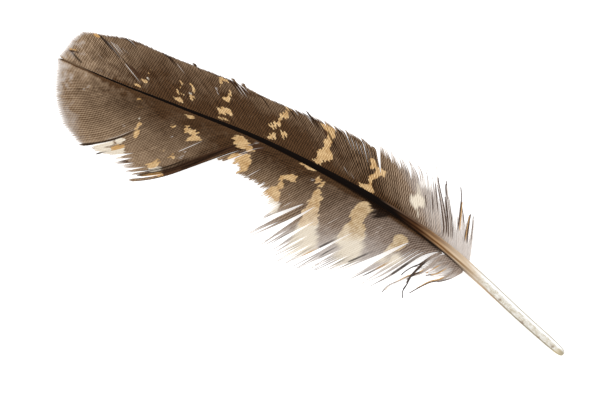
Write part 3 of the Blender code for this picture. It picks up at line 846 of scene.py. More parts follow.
@dataclass(frozen=True)
class HornFinish:
    """Colours of the shaft, from the pale quill to the nearly black tip.

    specks: station, place to the side and size of the brown specks on the quill
    """

    clear_and_highlight: Colour = srgb(251, 250, 246)
    pith: Colour = srgb(219, 214, 203)
    wall: Colour = srgb(138, 127, 103)
    resin: Colour = srgb(196, 176, 128)
    cream: Colour = srgb(209, 186, 158)
    tan: Colour = srgb(172, 137, 100)
    brown: Colour = srgb(80, 51, 28)
    bark: Colour = srgb(106, 82, 64)
    dusk: Colour = srgb(66, 38, 16)
    black: Colour = srgb(7, 3, 2)
    scab: Colour = srgb(132, 108, 84)
    gloss: float = 0.04
    specks: tuple[tuple[float, float, float], ...] = (
        (10.9, -0.75, 0.6), (3.0, -0.3, 0.7), (6.4, -0.8, 0.5), (17.5, -0.5, 0.5),
    )

    def build(self) -> bpy.types.Material:
        """Make the material."""
        paint = Paint("feather_horn")
        along = paint.point_value("station")
        aside = paint.point_value("aside")
        place = paint.place()
        fibres = paint.noise(paint.join(along * 0.35, aside * 5.0, 0.0), 1.0, 3.0)
        blot = paint.noise(paint.join(along * 0.8, aside * 1.6, 3.0), 1.0, 4.0)
        flake = paint.noise(place, 2.6, 6.0)
        # The colours change later on the upper side, which stays paler, partly as a painted highlight
        drift = along + (fibres - 0.5) * 4.0 - aside * 1.8

        # The quill: a see-through wall over flaky pith that fills its lower side.
        # Its near-white upper side, without pith, is partly a painted highlight
        chip = paint.noise(place, 5.0, 4.0)
        pith = paint.step(blot * 0.5 + flake * 0.3 - aside, -0.02, 0.24)
        quill = paint.mix(pith, self.clear_and_highlight, self.pith)
        quill = paint.tint(quill, paint.step(flake + blot, 0.92, 1.2) * pith, (0.82, 0.77, 0.67))
        quill = paint.mix(paint.step(flake - blot, 0.0, 0.22) * pith * 0.5, quill, self.clear_and_highlight)
        quill = paint.mix(paint.step(chip, 0.54, 0.68) * pith * 0.7, quill, self.clear_and_highlight)
        quill = paint.mix(paint.step(chip, 0.44, 0.3) * pith * 0.45, quill, self.wall)
        wall = paint.step(abs(aside) + (fibres - 0.5) * 0.06, 0.68, 0.8)
        wall = wall * (1.0 - paint.step(abs(aside), 0.9, 1.0) * 0.6)
        quill = paint.mix(wall * (0.85 - aside * 0.1), quill, self.wall)
        stained = paint.step(along - aside * 5.0, 17.0, 27.0) * paint.step(0.0 - aside, 0.5, 0.85)
        quill = paint.mix(stained * 0.8, quill, self.tan)
        resin = paint.step(along + aside * 0.8 + flake, 2.8, 1.6) * pith
        quill = paint.mix(resin * 0.6, quill, self.resin)
        cap = 1.0 - paint.step(along + abs(aside) * 0.6, 0.4, 2.0)
        quill = paint.mix(cap * 0.6, quill, self.wall)
        for station, lateral, size in self.specks:
            reach = abs(along - station) + abs(aside - lateral) * 1.2
            speck = 1.0 - paint.step(reach + (flake - 0.5) * 1.4, size * 0.4, size)
            quill = paint.mix(speck * 0.7, quill, self.scab)

        # The shaft: from cream over tan to black, with darker lines along it
        tanned = paint.mix(paint.step(drift, 21.0, 28.0), quill, self.cream)
        tanned = paint.mix(paint.step(drift, 29.5, 36.0), tanned, self.tan)
        browned = paint.mix(paint.step(drift, 34.5, 41.0), tanned, self.brown)
        lined = paint.step(along, 21.0, 30.0)
        groove = 1.0 - paint.step(abs(aside + 0.3 + (fibres - 0.5) * 0.2), 0.1, 0.28)
        browned = paint.tint(browned, groove * lined, (0.4, 0.3, 0.18))
        rim = paint.step(aside + (fibres - 0.5) * 0.2, 0.05, 0.5)
        rim = rim * (1.0 - paint.step(aside, 0.72, 0.95) * 0.6)
        browned = paint.tint(browned, rim * paint.step(along, 25.0, 37.0), (0.48, 0.43, 0.4))
        low = paint.step(0.0 - aside + (fibres - 0.5) * 0.1, 0.5, 0.74)
        browned = paint.mix(low * lined * 0.7, browned, self.dusk)
        # Painted shade: a black line along the lower edge, where the barbs meet the shaft
        edge = paint.step(0.0 - aside, 0.72, 0.86) * paint.step(along, 24.0, 32.0)
        browned = paint.mix(edge * 0.9, browned, self.black)
        dark = paint.step(drift + abs(aside) * 1.5, 39.5, 47.0)
        horn = paint.mix(dark * (0.95 + fibres * 0.05), browned, self.black)
        brim = paint.step(abs(aside), 0.8, 0.97) * dark
        horn = paint.mix(brim * 0.5, horn, self.dusk)
        # A lighter brown band along the upper side of the dark shaft
        upper_light_band = paint.step(aside, 0.48, 0.68) * paint.step(abs(along - 43.5), 7.0, 3.5)
        horn = paint.mix(upper_light_band * 0.6, horn, self.bark)
        paint.finish("Base Color", paint.mix(paint.step(along, 114.0, 119.0) * 0.7, horn, self.scab))
        paint.finish("Roughness", 0.3 + flake * 0.22 + dark * 0.12)
        paint.finish("Specular IOR Level", self.gloss)
        paint.finish("Coat Weight", 0.4 * (1.0 - paint.step(along, 26.0, 40.0)))
        paint.bump(flake * (1.0 - dark) + fibres * 1.5, 0.03)
        return paint.material


class Shaft:
    """The quill and the shaft, in one skin."""

    def __init__(self, line: ShaftLine) -> None:
        """Keep the line that the shaft follows."""
        self.line = line

    def ring(self, station: float) -> tuple[np.ndarray, np.ndarray]:
        """One cross-section.

        Args:
            station: the distance from the quill end.

        Returns:
            Its points, and how far each lies to the side, from -1 to 1.
        """
        size = self.line.size
        where = np.array([station])
        centre, along = self.line.at(where)[0], self.line.along(where)[0]
        across = np.array((along[1], -along[0]))
        half = float(self.line.width(where)[0]) / 2
        depth = half * size.depth_to_width
        blend = (station - size.vane_from + size.blend_before) / size.blend_span
        shafted = float(np.clip(blend, 0, 1))
        squareness = 2 + size.squared * shafted
        turn = 2 * np.pi * (np.arange(size.sides) + 0.5) / size.sides
        cosine, sine = np.cos(turn), np.sin(turn)
        aside = np.sign(cosine) * np.abs(cosine) ** (2 / squareness)
        rise = np.sign(sine) * np.abs(sine) ** (2 / squareness)
        groove = np.exp(-((cosine / size.groove_width) ** 2)) * (sine < 0)
        dent = np.exp(-(((cosine - size.dent_aside) / size.dent_width) ** 2)) * (sine > 0)
        worked = (size.groove * groove - size.dent * dent) * shafted
        cut = min(size.flat_cut, 0.4 * depth)
        height = np.maximum(0, depth * (1 + rise + worked) - cut)
        plan = centre + across * half * aside[:, None]
        belly = float(self.line.belly(where)[0])
        return np.column_stack((plan, belly + height)), aside

    def build(self) -> bpy.types.Object:
        """Make the piece that stands for the frame's shaft."""
        size = self.line.size
        sheet = Sheet(("station", "aside"))
        ends = (0.0, 0.12, 0.3, 0.55, 0.9, 1.3, 1.8, 2.4)
        count = round((size.length - ends[-1]) / size.ring_step)
        stations = np.concatenate((ends[:-1], np.linspace(ends[-1], size.length, count)))
        columns, around = 6, size.sides
        span = math.ceil(len(stations) / columns)
        for number, station in enumerate(stations):
            points, aside = self.ring(float(station))
            first = sheet.add_points(points, {"station": station, "aside": aside})
            if number == 0:
                continue
            column, row = divmod(number - 1, span)
            for side in range(around):
                after = (side + 1) % around
                ring = (first - around + side, first - around + after, first + after, first + side)
                left, right = (column + np.array((side, side + 1)) / around * 0.94) / columns
                low, high = np.array((row, row + 1)) / (span + 1) * 0.95
                sheet.add_face(ring, ((left, low), (right, low), (right, high), (left, high)))
        self.close_ends(sheet, len(stations))
        piece = sheet.build("shaft_skin", HornFinish().build(), smooth=True)
        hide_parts("shaft")
        return piece

    def close_ends(self, sheet: Sheet, rings: int) -> None:
        """Sink a small hollow into the quill end, and close the tip.

        Args:
            sheet: the mesh, with all its rings.
            rings: how many rings it has.
        """
        size = self.line.size
        around = size.sides
        rim = sheet.points[0]
        middle = rim.mean(axis=0)
        inward = np.append(self.line.along(np.array([0.0]))[0], 0.0)
        inner = middle + (rim - middle) * size.hollow + inward * size.hollow_depth
        first = sheet.add_points(inner, {"station": 0.0, "aside": 0.9})
        turn = 2 * np.pi * np.arange(around + 1) / around
        outer = [(0.08 + 0.03 * math.cos(a), 0.975 + 0.015 * math.sin(a)) for a in turn]
        inside = [(0.08 + 0.015 * math.cos(a), 0.975 + 0.007 * math.sin(a)) for a in turn]
        for side in range(around):
            after = (side + 1) % around
            ring = (after, side, first + side, first + after)
            spots = (outer[side + 1], outer[side], inside[side], inside[side + 1])
            sheet.add_face(ring, spots)
        floor = tuple(first + side for side in range(around))
        sheet.add_face(floor, tuple((x + 0.1, y) for x, y in inside[:-1]))
        last = (rings - 1) * around
        tip = tuple(last + side for side in range(around))
        sheet.add_face(tip, tuple((x + 0.2, y) for x, y in inside[:-1]))


# Vanes


@dataclass(frozen=True)
class Barb:
    """A key barb, given by its root and by the angles that it makes with the shaft.

    root: distance along the shaft from the quill end
    length: how long it is
    leave: angle at the root, in degrees
    spread: angle along its middle
    close: angle at its tip
    held: share of its length over which it holds on to the next one
    pale: length over which its end turns pale
    """

    root: float
    length: float
    leave: float
    spread: float
    close: float
    held: float = 0.96
    pale: float = 1.0


@dataclass(frozen=True)
class Web:
    """A stretch of vane between two gaps.

    barbs: its key barbs, from the tip of the feather towards the quill
    ragged: how much shorter a barb may be than its keys say
    tufted: how strongly free ends gather in small tufts
    splay: how far free ends wander to the side
    fade: how pale the ends turn
    opening: length over which a barb turns from leave to spread
    hook: length over which it turns from spread to close
    """

    barbs: tuple[Barb, ...]
    ragged: float
    tufted: float
    splay: float
    fade: float
    opening: float = 6.0
    hook: float = 3.0


@dataclass(frozen=True)
class Split:
    """A slit between two barbs of one web.

    station: where it would meet the shaft
    opens: distance from the shaft at which it opens
    gap: its width at the margin
    pull: how far along the shaft it pushes barbs together
    """

    station: float
    opens: float
    gap: float
    pull: float = 2.5


@dataclass(frozen=True)
class Stray:
    """Barbs that stick out beyond the margin.

    station: where they leave the shaft
    longer: how far they stick out
    width: length of the shaft that they take up
    """

    station: float
    longer: float
    width: float = 0.5


@dataclass(frozen=True)
class Strand:
    """A loose lock of barbs near the quill.

    path: plan points from the shaft to the tip
    tones: colour of each barb, or None for the vane's own
    spread: width of the lock at its root and halfway
    coloured: shares of its length between which it takes on its colours
    lift: how far it rises above the vane
    fade: how pale it turns towards its tip
    """

    path: tuple[Point, ...]
    tones: tuple[Tone | None, ...]
    spread: tuple[float, float]
    coloured: tuple[float, float] = (0.2, 0.45)
    lift: float = 0.2
    fade: float = 0.3


@dataclass(frozen=True)
class VaneSize:
    """Sizes of one vane.

    side: 1 on the leading and -1 on the trailing vane
    span: distance from the shaft at which the web comes down to the surface
    pitch: distance between two roots
    samples: points along a barb
    insertion: how far out from the shaft's middle a root sits, as a share of its width
    seat_height: how high on the shaft it sits, as a share of the shaft's depth
    widest_half: half of the widest web that a barb may carry
    outer_half: the same beyond the first and the last barb of the vane
    lock_half: the same in a loose lock
    lock_tip: width of a loose lock at its tip
    overlap: how much wider than its share of the web a barb is
    lowest: how low a barb or barbule may lie
    ramus, ridge, keel: half width, rise and depth of a barb, at its root and its tip
    loose_ramus: how much wider the barbs of a loose lock are
    shoulder: rise of a barb beside its ridge
    upper_border: rise of its web's border towards the tip of the feather
    lower_border: the same towards the quill, where it lies under the next barb
    tuft: least and greatest number of free ends in a tuft
    barbule_angle: least and greatest angle to the barb, in degrees
    barbule_droop: how far barbules' tips stray up or down
    """

    name: str
    node: str
    slot: str
    side: int
    span: float
    webs: tuple[Web, ...]
    splits: tuple[Split, ...]
    strays: tuple[Stray, ...]
    strands: tuple[Strand, ...]
    marks: tuple[Mark, ...]
    lines: tuple[Line, ...]
    pitch: float = 0.5
    samples: int = 30
    insertion: float = 0.42
    seat_height: float = 0.62
    root_thickness: float = 0.42
    edge_thickness: float = 0.24
    thickness_span: float = 8.6
    fall_sharpness: float = 1.5
    widest_half: float = 0.3
    outer_half: float = 0.18
    lock_half: float = 0.14
    lock_tip: float = 0.06
    lowest: float = 0.012
    overlap: float = 1.12
    ramus: tuple[float, float] = (0.055, 0.05)
    ridge: tuple[float, float] = (0.035, 0.018)
    keel: tuple[float, float] = (0.1, 0.02)
    loose_ramus: float = 1.9
    shoulder: float = 0.012
    upper_border: float = 0.03
    lower_border: float = -0.022
    tuft: tuple[int, int] = (3, 6)
    barbules_per_mm: float = 9.0
    barbule_length: float = 0.32
    barbule_width: float = 0.035
    barbule_angle: tuple[float, float] = (32.0, 48.0)
    barbule_droop: float = 0.05
    seed: int = 5


LEADING_STRANDS = (
    Strand(
        ((27.0, 5.0), (25.9, 7.5), (23.0, 11.4), (20.3, 14.6), (18.5, 17.4)),
        (Tone.BROWN, None, Tone.BROWN), (0.5, 0.6), (0.0, 0.15), 0.3, 0.1,
    ),
    Strand(
        ((25.5, 5.6), (23.3, 9.2), (21.4, 12.2), (20.2, 14.1)), (None, Tone.BROWN, None), (0.4, 0.6),
        (0.3, 0.6), 0.1, 0.3,
    ),
    Strand(
        ((28.4, 5.1), (26.5, 8.6), (24.3, 11.9), (22.5, 14.4), (21.8, 15.7)),
        (Tone.BROWN, None, Tone.BROWN, None, Tone.BROWN), (0.6, 0.9), (0.0, 0.12), 0.3, 0.1,
    ),
    Strand(
        ((27.6, 5.2), (25.7, 8.6), (23.5, 12.1), (22.2, 14.0)), (None, Tone.BROWN), (0.3, 0.4),
        (0.3, 0.6), 0.1, 0.4,
    ),
    Strand(
        ((30.6, 4.5), (28.9, 8.0), (27.5, 11.5), (26.3, 14.2), (25.1, 16.1)),
        (Tone.BROWN, Tone.BROWN, Tone.OCHRE), (0.3, 0.4), (0.3, 0.5), 0.3, 0.0,
    ),
    Strand(
        ((31.0, 4.7), (29.8, 8.1), (28.5, 10.6), (27.1, 12.7)), (None, None, Tone.BROWN), (0.5, 0.7),
        (0.4, 0.8), 0.1, 0.5,
    ),
    Strand(
        ((32.5, 3.9), (31.2, 6.9), (30.2, 9.7), (29.4, 12.4)),
        (Tone.BROWN, Tone.OCHRE, Tone.BROWN, Tone.BROWN), (0.4, 0.6), (0.3, 0.5), 0.2, 0.1,
    ),
    Strand(
        ((33.6, 3.5), (32.4, 6.7), (31.4, 9.4), (30.3, 12.1)), (None, Tone.BROWN, None), (0.3, 0.5),
        (0.3, 0.6), 0.1, 0.5,
    ),
    Strand(
        ((24.6, 5.1), (22.3, 8.6), (20.8, 11.1), (19.8, 12.7)), (None, Tone.BROWN), (0.3, 0.4),
        (0.4, 0.7), 0.1, 0.5,
    ),
    Strand(
        ((23.1, 5.2), (21.1, 8.4), (19.6, 10.7), (18.8, 11.9)), (Tone.BROWN,), (0.1, 0.1), (0.5, 0.8),
        0.1, 0.2,
    ),
)

TRAILING_STRANDS = (
    Strand(
        ((28.0, 2.3), (26.9, 0.9), (26.0, -0.8), (25.5, -2.5), (24.9, -5.2), (24.9, -7.3), (24.8, -8.8),
         (25.5, -10.1)),
        (Tone.BROWN, Tone.DARK, Tone.DARK), (0.3, 0.2), (0.2, 0.4), 0.5, 0.0,
    ),
    Strand(
        ((29.5, 2.2), (28.2, 0.7), (27.4, -1.2), (26.3, -3.5), (24.5, -5.4), (23.2, -7.3), (21.9, -9.2),
         (21.5, -10.9)),
        (Tone.OCHRE, Tone.BROWN, None), (0.4, 0.5), (0.3, 0.5), 0.3, 0.3,
    ),
    Strand(
        ((26.9, -2.4), (25.6, -4.3), (24.7, -5.8), (23.3, -7.5)), (Tone.BROWN,), (0.1, 0.1), (0.1, 0.3),
        0.4, 0.0,
    ),
    Strand(
        ((26.3, -0.1), (25.3, -2.1), (24.1, -3.7), (23.3, -5.4), (23.2, -6.4)), (Tone.DARK,), (0.1, 0.1),
        (0.0, 0.2), 0.3, 0.0,
    ),
    Strand(
        ((31.1, 1.6), (30.3, 0.0), (29.1, -2.1), (27.5, -3.5)), (None, Tone.BROWN, Tone.OCHRE),
        (0.3, 0.5), (0.3, 0.6), 0.2, 0.3,
    ),
    Strand(
        ((32.8, 1.5), (31.8, -0.6), (30.6, -2.7), (29.0, -4.1), (27.7, -6.0), (26.5, -8.1),
         (25.7, -10.0)),
        (Tone.OCHRE, Tone.BROWN), (0.3, 0.3), (0.3, 0.5), 0.3, 0.0,
    ),
    Strand(
        ((33.5, 1.1), (32.1, -1.1), (30.8, -2.6), (29.5, -4.0)), (Tone.OCHRE, None, None, Tone.BROWN),
        (0.5, 0.9), (0.4, 0.6), 0.1, 0.5,
    ),
    Strand(
        ((30.0, 1.0), (28.9, -0.5), (27.9, -2.1), (26.6, -3.5)), (Tone.OCHRE, None), (0.2, 0.3),
        (0.2, 0.5), 0.2, 0.3,
    ),
)

LEADING = VaneSize(
    name="leading_barbs", node="leading_vane", slot="leading_web", side=1, span=8.6,
    webs=(
        Web(
            rows_of(
                Barb,
                (121.2, 1.4, 8, 14, 18, 0.8, 0.7), (118.9, 3.6, 8, 13, 8, 0.86, 1.1),
                (114.1, 8.4, 14, 22, 14, 0.93, 1.3), (110.0, 12.4, 18, 27, 16, 0.96, 1.2),
                (105.4, 16.2, 22, 28, 18, 0.985, 0.9), (103.0, 16.5, 25, 30, 22, 0.985, 0.5),
            ),
            ragged=0.004, tufted=0.1, splay=0.04, fade=1.0,
        ),
        Web(
            rows_of(
                Barb,
                (102.5, 16.4, 28, 30, 20, 0.99, 0.2), (95.7, 18.5, 26, 31, 14, 0.99, 0.2),
                (91.8, 18.9, 26, 32, 12, 0.99, 0.2), (83.8, 18.1, 26, 31, 10, 0.985, 0.2),
                (78.7, 17.6, 26, 30, 10, 0.98, 0.2), (65.0, 17.1, 26, 28, 10, 0.96, 0.3),
                (60.5, 16.9, 26, 30, 12, 0.92, 0.8), (56.5, 16.6, 26, 33, 15, 0.9, 1.2),
                (52.7, 15.4, 28, 38, 16, 0.88, 1.6), (50.3, 13.9, 32, 46, 14, 0.9, 1.2),
                (48.3, 12.8, 36, 54, 8, 0.95, 0.4),
            ),
            ragged=0.02, tufted=0.2, splay=0.1, fade=0.9,
        ),
        Web(
            rows_of(
                Barb,
                (47.8, 12.8, 38, 52, 46, 0.8, 2.6), (44.7, 13.1, 42, 52, 35, 0.76, 3.0),
                (41.4, 13.4, 44, 52, 25, 0.7, 3.6), (38.9, 13.6, 50, 50, 25, 0.62, 5.0),
                (37.2, 13.8, 50, 50, 30, 0.56, 6.0), (35.4, 14.0, 50, 50, 38, 0.5, 7.0),
            ),
            hook=5.0, ragged=0.07, tufted=0.2, splay=0.15, fade=0.7,
        ),
        Web(
            rows_of(
                Barb,
                (34.9, 9.2, 50, 50, 44, 0.5, 6.0), (34.0, 8.3, 50, 50, 46, 0.5, 6.0),
                (31.5, 8.0, 52, 54, 50, 0.45, 6.0), (29.4, 7.9, 54, 56, 52, 0.45, 6.0),
                (27.7, 7.6, 52, 56, 54, 0.4, 6.0),
            ),
            hook=5.0, ragged=0.25, tufted=0.5, splay=0.2, fade=1.0,
        ),
    ),
    splits=rows_of(
        Split,
        (94.6, 15.4, 0.12), (72.2, 14.8, 0.2, 1.2), (70.9, 14.4, 0.2, 1.2), (60.2, 14.0, 0.2, 1.0),
        (57.7, 13.8, 0.2, 1.5), (55.2, 13.4, 0.25, 1.0), (53.6, 12.8, 0.25, 1.0), (51.9, 12.2, 0.3, 1.5),
        (50.2, 11.4, 0.25, 1.0), (48.05, 6.4, 1.0, 1.8), (45.2, 10.6, 0.3, 1.0), (43.2, 10.2, 0.3, 1.0),
        (41.0, 8.5, 0.4, 2.0), (39.2, 9.6, 0.3, 1.0), (37.4, 8.6, 0.3, 1.0),
    ),
    strays=rows_of(Stray, (80.4, 0.7), (72.5, 1.1), (70.6, 0.9), (57.4, 0.9, 0.6)),
    strands=LEADING_STRANDS,
    marks=LEADING_MARKS,
    lines=LEADING_LINES,
)

TRAILING = VaneSize(
    name="trailing_barbs", node="trailing_vane", slot="trailing_web", side=-1, span=14.5,
    webs=(
        Web(
            rows_of(
                Barb,
                (121.3, 1.5, 7, 15, 20, 0.8, 0.8), (120.3, 2.3, 10, 24, 24, 0.8, 1.1),
                (116.6, 5.8, 12, 22, 14, 0.9, 1.5), (111.4, 10.8, 14, 28, 14, 0.94, 1.6),
                (106.7, 15.3, 14, 33, 16, 0.955, 1.7), (101.5, 20.1, 14, 38, 16, 0.96, 1.7),
                (97.1, 23.3, 15, 43, 20, 0.965, 1.6), (92.9, 24.8, 16, 46, 26, 0.965, 1.4),
                (91.2, 25.0, 16, 45, 26, 0.97, 0.3),
            ),
            opening=10.0, hook=12.0, ragged=0.004, tufted=0.1, splay=0.04, fade=1.0,
        ),
        Web(
            rows_of(
                Barb,
                (90.8, 24.6, 16, 46, 30, 0.96, 0.6), (90.0, 24.2, 16, 47, 32, 0.96, 0.6),
                (88.9, 24.5, 17, 47, 32, 0.94, 0.6), (87.0, 25.4, 17, 46, 28, 0.95, 0.6),
                (85.4, 25.0, 17, 46, 28, 0.86, 2.0), (83.7, 25.9, 18, 46, 28, 0.85, 2.0),
                (81.4, 27.0, 18, 46, 28, 0.88, 1.5), (77.7, 28.5, 18, 46, 30, 0.95, 1.0),
                (76.0, 28.0, 20, 46, 30, 0.97, 0.3), (75.0, 28.5, 25, 45, 28, 0.97, 0.3),
            ),
            opening=10.0, hook=12.0, ragged=0.05, tufted=0.25, splay=0.12, fade=0.8,
        ),
        Web(
            rows_of(
                Barb,
                (74.3, 12.8, 18, 44, 44, 0.96, 0.4), (73.8, 12.6, 18, 45, 45, 0.96, 0.4),
                (73.4, 9.6, 19, 49, 49, 0.96, 0.4), (70.6, 12.5, 24, 54, 54, 0.95, 0.5),
                (69.5, 11.3, 22, 54, 54, 0.93, 0.5), (68.8, 12.8, 20, 55, 55, 0.92, 0.4),
                (67.7, 12.2, 20, 55, 55, 0.93, 0.4), (66.7, 12.2, 20, 55, 55, 0.93, 0.4),
                (65.3, 12.3, 20, 56, 56, 0.92, 0.4), (64.2, 12.2, 20, 56, 56, 0.9, 0.4),
                (62.9, 14.9, 20, 56, 56, 0.88, 0.5), (62.0, 13.7, 20, 56, 56, 0.9, 0.8),
                (60.8, 15.6, 20, 57, 57, 0.9, 1.5), (59.6, 15.4, 20, 57, 57, 0.86, 3.0),
                (58.7, 17.5, 20, 57, 57, 0.78, 5.0), (57.1, 18.9, 20, 56, 56, 0.72, 7.0),
                (55.9, 22.3, 20, 55, 55, 0.64, 9.0),
            ),
            ragged=0.14, tufted=0.25, splay=0.14, fade=0.6,
        ),
        Web(
            rows_of(Barb, (55.4, 24.0, 21, 54, 52, 0.68, 8.0), (54.5, 24.4, 22, 57, 56, 0.64, 8.0)),
            ragged=0.05, tufted=0.15, splay=0.25, fade=0.5,
        ),
        Web(
            rows_of(
                Barb,
                (54.0, 24.1, 22, 59, 59, 0.64, 12.0), (52.4, 24.1, 22, 60, 60, 0.66, 11.0),
                (51.0, 23.6, 22, 60, 60, 0.74, 9.0), (47.5, 25.8, 22, 60, 60, 0.7, 9.0),
                (45.9, 26.0, 22, 60, 60, 0.68, 9.0), (43.9, 26.0, 22, 61, 61, 0.66, 9.0),
                (42.5, 24.8, 22, 61, 61, 0.66, 9.0), (39.9, 23.6, 22, 61, 61, 0.66, 9.0),
                (37.9, 22.0, 24, 62, 61, 0.66, 9.0), (36.4, 20.8, 27, 64, 61, 0.62, 9.0),
                (35.2, 20.0, 31, 66, 61, 0.62, 8.0), (34.3, 18.8, 36, 70, 61, 0.62, 8.0),
                (33.5, 17.5, 43, 74, 60, 0.6, 8.0),
            ),
            opening=6.6, hook=8.0, ragged=0.07, tufted=0.2, splay=0.3, fade=0.62,
        ),
        Web(
            rows_of(
                Barb,
                (31.7, 7.6, 44, 62, 60, 0.5, 6.0), (30.6, 8.2, 46, 60, 56, 0.5, 6.0),
                (29.2, 8.0, 50, 58, 50, 0.5, 6.0), (27.2, 7.4, 55, 58, 46, 0.5, 6.0),
            ),
            opening=4.0, hook=3.0, ragged=0.25, tufted=0.6, splay=0.2, fade=1.0,
        ),
    ),
    splits=rows_of(
        Split,
        (91.0, 17.5, 0.35, 1.5), (85.2, 20.0, 0.6, 1.2), (83.4, 22.0, 0.5, 1.2), (81.6, 23.0, 0.3, 1.0),
        (79.2, 23.2, 0.5, 1.2), (77.4, 23.8, 0.5, 1.0), (58.9, 14.2, 0.3, 1.2), (55.65, 10.4, 1.4, 2.6),
        (54.25, 9.6, 1.5, 2.8), (52.9, 14.0, 0.35, 1.2), (52.2, 16.0, 0.35, 1.2), (51.1, 12.4, 0.9, 2.2),
        (48.6, 16.0, 0.5, 1.2), (46.2, 17.0, 0.4, 1.2), (44.1, 10.0, 0.9, 2.2), (41.7, 15.0, 0.4, 1.2),
        (39.4, 14.0, 0.4, 1.2), (36.3, 4.4, 1.8, 3.0),
    ),
    strays=rows_of(Stray, (91.2, 0.8, 0.3), (88.6, 1.0, 0.5), (75.0, 2.6, 0.3)),
    strands=TRAILING_STRANDS,
    marks=TRAILING_MARKS,
    lines=TRAILING_LINES,
    seed=8,
)


@dataclass
class Curves:
    """All barbs of a vane, sampled from root to tip: one barb a row.

    root: station of each barb's root
    plan: plan points
    free: how far a barb has let go of its neighbours
    fade: how pale it is
    lift: how far it rises above the vane
    coloured: how far it takes on its own tone
    tone: its own tone, or None for the vane's
    loose: whether these are the barbs of a loose lock
    """

    root: np.ndarray
    plan: np.ndarray
    free: np.ndarray
    fade: np.ndarray
    lift: np.ndarray
    coloured: np.ndarray
    tone: list[Tone | None]
    loose: bool = False

    def __len__(self) -> int:
        """Number of barbs."""
        return len(self.root)

    @property
    def distance(self) -> np.ndarray:
        """Distance of each sample from its barb's root."""
        return run_along(self.plan)


